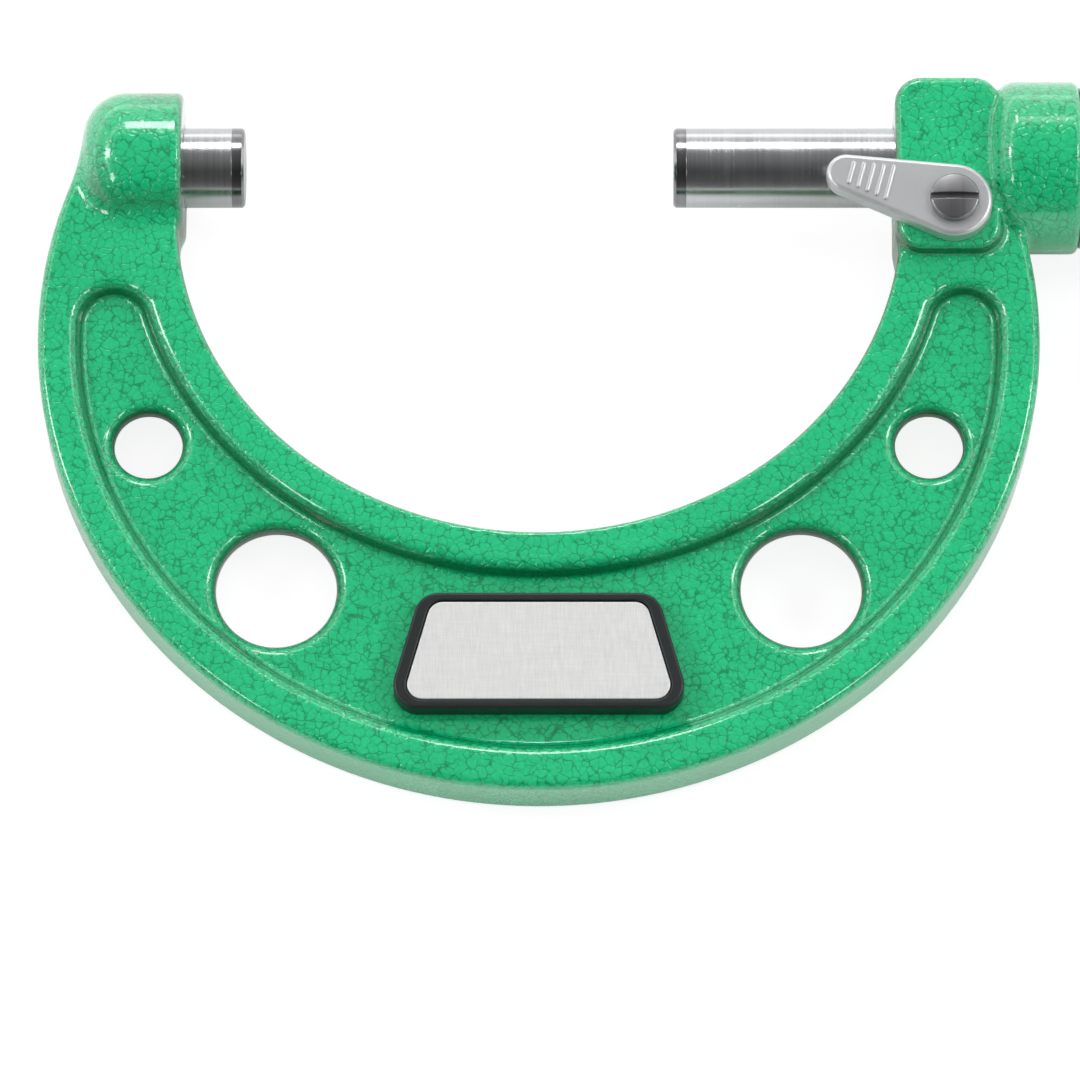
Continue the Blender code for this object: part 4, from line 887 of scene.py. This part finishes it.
# Thimble
# A satin chromed tube. Its bevelled edge is engraved with fifty divisions of 0.01 mm, and its grip
# is rolled with a diamond knurl between two turned grooves.
THIMBLE_EDGE = 84.48
THIMBLE_BORE = 6.72
THIMBLE_LIP = 6.84
THIMBLE_RADIUS = 8.57
BEVEL_END = 90.48
GRIP_START = 96.98
GRIP_END = 116.98
SHOULDER = 124.63
NOSE_START = 127.03
NOSE_RADIUS = 6.1
NOSE_BORE = 4.3
THIMBLE_END = 129.63
CONE_SEAT_END = 126.98
CONE_SEAT_RADII = (3.46, 2.86)
GROOVE_WIDTH = 0.8
KNURL_DEPTH = 0.3
KNURL_AROUND = 60
KNURL_ROWS = 22
KNURL_FLAT = 0.40
DIVISIONS = 50


def knurled(points, faces, normals):
    """Fills the gap between the last and first rings of a turned piece with rolled diamonds."""
    steps = 2 * KNURL_AROUND
    halves = 2 * KNURL_ROWS
    pitch = (GRIP_END - GRIP_START) / halves
    points = [tuple(point) for point in points]
    rings = {0: range(len(points) - steps, len(points)), halves: range(steps)}
    low = THIMBLE_RADIUS - KNURL_DEPTH

    def place(row, step, radius):
        angle = math.tau * step / steps
        return (GRIP_START + row * pitch, radius * math.cos(angle), radius * math.sin(angle))

    for row in range(1, halves):
        rings[row] = {}
        for step in range(row % 2, steps, 2):
            rings[row][step] = len(points)
            points.append(place(row, step, low))
    diamonds = []
    for row in range(halves + 1):
        for step in range((row + 1) % 2, steps, 2):
            below = rings[row][(step - 1) % steps]
            above = rings[row][(step + 1) % steps]
            left = rings[row - 1][step] if row else None
            right = rings[row + 1][step] if row < halves else None
            if left is None:
                diamonds += [(rings[0][step], above, right), (rings[0][step], right, below)]
            elif right is None:
                diamonds += [(rings[row][step], left, above), (rings[row][step], below, left)]
            else:
                top = len(points)
                points += [place(row - KNURL_FLAT, step, THIMBLE_RADIUS),
                           place(row, step + KNURL_FLAT, THIMBLE_RADIUS),
                           place(row + KNURL_FLAT, step, THIMBLE_RADIUS),
                           place(row, step - KNURL_FLAT, THIMBLE_RADIUS)]
                diamonds += [(top, top + 1, top + 2, top + 3), (left, above, top + 1, top),
                             (above, right, top + 2, top + 1), (right, below, top + 3, top + 2),
                             (below, left, top, top + 3)]
    return points, faces, normals, diamonds


def add_cornered(name, points, round_faces, normals, flat_faces):
    """A piece whose turned faces are shaded round and whose cut faces are shaded flat."""
    piece = add_piece(name, points, round_faces + flat_faces)
    mesh = piece.data
    corner_normals = []
    for face in mesh.polygons:
        if face.index < len(round_faces):
            corner_normals += [tuple(normals[index]) for index in face.vertices]
        else:
            corner_normals += [tuple(face.normal)] * len(face.vertices)
    mesh.normals_split_custom_set(corner_normals)
    return piece


groove_radius = THIMBLE_RADIUS - KNURL_DEPTH
thimble_parts = knurled(*turned([
    (GRIP_END, groove_radius, 0.0), (GRIP_END + GROOVE_WIDTH, groove_radius, 0.06),
    (GRIP_END + GROOVE_WIDTH, THIMBLE_RADIUS, 0.10), (SHOULDER, THIMBLE_RADIUS, 0.5),
    (NOSE_START, NOSE_RADIUS, 0.4), (THIMBLE_END, NOSE_RADIUS, 0.3), (THIMBLE_END, NOSE_BORE, 0.1),
    (CONE_SEAT_END, NOSE_BORE, 0.05), (CONE_SEAT_END, CONE_SEAT_RADII[1], 0.05),
    (CONE_START, CONE_SEAT_RADII[0], 0.05), (CONE_START, THIMBLE_BORE, 0.2),
    (THIMBLE_EDGE, THIMBLE_BORE, 0.04),
    (THIMBLE_EDGE, THIMBLE_LIP, 0.04), (BEVEL_END, THIMBLE_RADIUS, 0.4),
    (GRIP_START - GROOVE_WIDTH, THIMBLE_RADIUS, 0.10), (GRIP_START - GROOVE_WIDTH, groove_radius, 0.06),
    (GRIP_START, groove_radius, 0.0)], steps=2 * KNURL_AROUND))
thimble = add_cornered("thimble_tube", *thimble_parts)
dress(thimble, satin_chrome, "thimble", "satin_chrome", "thimble")


def bevel_surface(station):
    """The bevelled edge widens evenly from its lip to the tube."""
    share = (station - THIMBLE_EDGE) / (BEVEL_END - THIMBLE_EDGE)
    return THIMBLE_LIP + (THIMBLE_RADIUS - THIMBLE_LIP) * share


thimble_marks = []
for division in range(DIVISIONS):
    turn = math.tau * division / DIVISIONS
    fifth = division % 5 == 0
    thimble_marks.append(engraved_line(THIMBLE_EDGE + 0.12, THIMBLE_EDGE + (3.0 if fifth else 2.2),
                                       -LINE_WIDTH / 2, LINE_WIDTH / 2, bevel_surface, turn))
    if fifth:
        thimble_marks.append(engraved_number(str(division), 1.45, THIMBLE_EDGE + 4.6, 0.0,
                                             bevel_surface, turn))
engraving("thimble_scale", thimble_marks, "thimble")

# Ratchet stop
# A knurled knob that slips on a sprung pin inside it, so that it closes the tool with a steady force.
# It turns on a shank screwed into the spindle, under a washer and a slotted screw.
COIL_STATION = 131.83
COIL_HEIGHT = (-2.013, 1.053)
COIL_RADIUS = 0.66
COIL_TURNS = 6
COIL_STEPS = 20
WIRE_RADIUS = 0.12
WIRE_SIDES = 8
KNOB_START = 129.93
KNOB_END = 142.38
KNOB_RADIUS = 5.0
KNOB_CHAMFER = 0.4
KNOB_BORE = 3.26
KNOB_RECESS = (137.18, 4.2)
FLUTES = 48
FLUTE_DEPTH = 0.22
FLUTE_MARGIN = 1.0
WASHER = (137.28, 137.88)
WASHER_RADII = (1.05, 3.9)
SCREW_HEAD = (137.93, 139.33)
SCREW_HEAD_RADIUS = 2.3
SCREW_SHANK = (134.1, 138.9)
SCREW_SHANK_RADIUS = 1.0
SCREW_BOX = ((133.8, -2.6, -2.6), (139.7, 2.6, 2.6))
SCREW_GRID = 0.08
DRIVER_SLOT = (0.5, 0.5)

flute_steps = 3 * FLUTES
knob_points, knob_faces, knob_normals = turned([
    (KNOB_START, KNOB_BORE, 0.05), (KNOB_START, KNOB_RADIUS - KNOB_CHAMFER, 0.05),
    (KNOB_START + KNOB_CHAMFER, KNOB_RADIUS, 0.05), (KNOB_START + 0.9, KNOB_RADIUS, 0.02),
    (KNOB_START + 1.101, KNOB_RADIUS - 0.001, 0.02), (KNOB_END - 1.1, KNOB_RADIUS - 0.001, 0.02),
    (KNOB_END - 0.9, KNOB_RADIUS, 0.02),
    (KNOB_END - KNOB_CHAMFER, KNOB_RADIUS, 0.05), (KNOB_END, KNOB_RADIUS - KNOB_CHAMFER, 0.05),
    (KNOB_END, KNOB_RECESS[1], 0.1), (KNOB_RECESS[0], KNOB_RECESS[1], 0.05),
    (KNOB_RECESS[0], KNOB_BORE, 0.05)], closed=True, steps=flute_steps)
fluted = set()
for index, (station, y, z) in enumerate(knob_points):
    radius = math.hypot(y, z)
    if KNOB_START + FLUTE_MARGIN < station < KNOB_END - FLUTE_MARGIN and radius > KNOB_RADIUS - 0.1:
        fluted.add(index)
        if index % 3 == 2:
            knob_points[index, 1:] *= (radius - FLUTE_DEPTH) / radius
cut_faces = [face for face in knob_faces if any(index in fluted for index in face)]
plain_faces = [face for face in knob_faces if not any(index in fluted for index in face)]
knob = add_cornered("ratchet_grip", knob_points, plain_faces, knob_normals, cut_faces)
dress(knob, satin_chrome, "ratchet_knob", "satin_chrome", "ratchet_knob")

washer = add_piece("ratchet_disc", *turned([
    (WASHER[0], WASHER_RADII[0], 0.03), (WASHER[0], WASHER_RADII[1], 0.05),
    (WASHER[1], WASHER_RADII[1], 0.12), (WASHER[1], WASHER_RADII[0], 0.03)], closed=True, steps=96))
dress(washer, ground_steel, "thimble", "ground_steel", "ratchet_washer")


def end_screw(x, y, z):
    """A slotted cheese head on its shank, along X."""
    around = np.hypot(y, z)
    head = past(around - SCREW_HEAD_RADIUS, np.maximum(SCREW_HEAD[0] - x, x - SCREW_HEAD[1]), 0.25)
    shank = np.maximum(around - SCREW_SHANK_RADIUS, np.maximum(SCREW_SHANK[0] - x, x - SCREW_SHANK[1]))
    slot = np.maximum(np.abs(y) - DRIVER_SLOT[0] / 2, SCREW_HEAD[1] - DRIVER_SLOT[1] - x)
    return past(np.minimum(head, shank), -slot, 0.05)


screw = add_piece("ratchet_end_screw", *skin(end_screw, *SCREW_BOX, SCREW_GRID))
dress(screw, ground_steel, "thimble", "ground_steel", "ratchet_screw")
spring_steel = ground_metal("spring_steel", (0.42, 0.42, 0.43), (0.32, 0.32, 0.33), 0.30, 4200.0)
coil_points = []
coil_faces = []
coil_rise = (COIL_HEIGHT[1] - COIL_HEIGHT[0]) / (math.tau * COIL_RADIUS * COIL_TURNS)
for ring in range(COIL_TURNS * COIL_STEPS + 1):
    turn = math.tau * ring / COIL_STEPS
    out = np.array((math.cos(turn), math.sin(turn), 0.0))
    across = np.array((coil_rise * math.sin(turn), -coil_rise * math.cos(turn), 1.0))
    across /= math.sqrt(across @ across)
    height = COIL_HEIGHT[0] + turn * COIL_RADIUS * coil_rise
    middle = COIL_RADIUS * out + (COIL_STATION, 0.0, height)
    for corner in range(WIRE_SIDES):
        angle = math.tau * corner / WIRE_SIDES
        coil_points.append(middle + WIRE_RADIUS * (math.cos(angle) * out + math.sin(angle) * across))
for ring in range(COIL_TURNS * COIL_STEPS):
    here = [ring * WIRE_SIDES + corner for corner in range(WIRE_SIDES)]
    for first, second in zip(here, here[1:] + here[:1]):
        coil_faces.append((first, first + WIRE_SIDES, second + WIRE_SIDES, second))
coil_faces.append(tuple(range(WIRE_SIDES)))
coil_faces.append(tuple(range(len(coil_points) - 1, len(coil_points) - 1 - WIRE_SIDES, -1)))
coil = add_piece("ratchet_coil", coil_points, coil_faces)
dress(coil, spring_steel, "thimble", "spring_steel", "ratchet_spring")
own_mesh(coil)
refinish(ground_steel, "ratchet_shank", "ratchet_pawl")

# Spindle lock
# A small lever on an eccentric pin that crosses the frame beside the spindle. A slotted screw holds
# the lever in front, and a washer and an open ring hold the pin at the back. Ribs give the thumb a hold.
LEVER_HEIGHT = (4.58, 6.18)
LEVER_HUB = 3.1
LEVER_TIP = 1.6
LEVER_LENGTH = 9.0
LEVER_ANGLE = 165.0
LOCK_HEAD_TOP = 7.08
LOCK_HEAD_RADIUS = 2.0
LOCK_CROWN = 9.0
RIB_PLACES = (5.4, 6.2, 7.0, 7.8, 8.6)
RIB_RADIUS = 0.2
RIB_MARGIN = 0.85

side = math.degrees(math.acos((LEVER_HUB - LEVER_TIP) / LEVER_LENGTH))
lever_turn = math.radians(LEVER_ANGLE)
tip_place = LEVER_LENGTH * np.array((math.cos(lever_turn), math.sin(lever_turn)))
hub_run = arc_run(LOCK_PIVOT, LEVER_HUB, LEVER_ANGLE + side, LEVER_ANGLE + 360.0 - side, 56)
tip_run = arc_run(LOCK_PIVOT + tip_place, LEVER_TIP, LEVER_ANGLE - side, LEVER_ANGLE + side, 28)
lever_line = tuple(np.concatenate(pair) for pair in zip(hub_run, tip_run))
lever = add_piece("lock_lever_plate", *lofted(
    outer_edge(lever_line, 0.0, LEVER_HEIGHT[0] + 0.15, 0.15, -90.0, 0.0)
    + outer_edge(lever_line, 0.0, LEVER_HEIGHT[1] - 0.4, 0.4, 0.0, 90.0, 6)))
dress(lever, satin_chrome, "spindle_lock", "satin_chrome", "lock_lever")

along = tip_place / LEVER_LENGTH
aside = np.array((-along[1], along[0]))
aside_angle = math.degrees(math.atan2(aside[1], aside[0]))
for number, place in enumerate(RIB_PLACES):
    half_long = LEVER_HUB + (LEVER_TIP - LEVER_HUB) * place / LEVER_LENGTH - RIB_MARGIN
    middle = np.array(LOCK_PIVOT) + along * place
    upper = arc_run(middle + aside * half_long, RIB_RADIUS, aside_angle - 90.0, aside_angle + 90.0, 8)
    lower = arc_run(middle - aside * half_long, RIB_RADIUS, aside_angle + 90.0, aside_angle + 270.0, 8)
    rib_line = tuple(np.concatenate(pair) for pair in zip(upper, lower))
    rib = add_piece("lever_rib_%d" % (number + 1), *lofted(
        [(rib_line, 0.0, LEVER_HEIGHT[1] - 0.05, 0.0)]
        + outer_edge(rib_line, 0.0, LEVER_HEIGHT[1], RIB_RADIUS * 0.98, 0.0, 90.0, 5)))
    dress(rib, satin_chrome, "spindle_lock", "satin_chrome")


def lock_screw(x, y, z):
    """A slotted head with a slight crown, along Z."""
    across_x = x - LOCK_PIVOT[0]
    across_y = y - LOCK_PIVOT[1]
    around = np.hypot(across_x, across_y)
    crown = np.sqrt(around ** 2 + (z - LOCK_HEAD_TOP + LOCK_CROWN) ** 2) - LOCK_CROWN
    head = past(around - LOCK_HEAD_RADIUS, np.maximum(crown, LEVER_HEIGHT[1] - z), 0.2)
    slot = np.maximum(np.abs(across_y) - DRIVER_SLOT[0] / 2, LOCK_HEAD_TOP - DRIVER_SLOT[1] - z)
    return past(head, -slot, 0.05)


lever_screw = add_piece("lock_lever_screw", *skin(
    lock_screw, (LOCK_PIVOT[0] - 2.4, LOCK_PIVOT[1] - 2.4, LEVER_HEIGHT[1] - 0.2),
    (LOCK_PIVOT[0] + 2.4, LOCK_PIVOT[1] + 2.4, LOCK_HEAD_TOP + 0.3), 0.07))
dress(lever_screw, dark_steel, "spindle_lock", "dark_steel", "lock_screw")
refinish(ground_steel, "lock_shaft", "lock_washer")
refinish(spring_steel, "lock_clip")
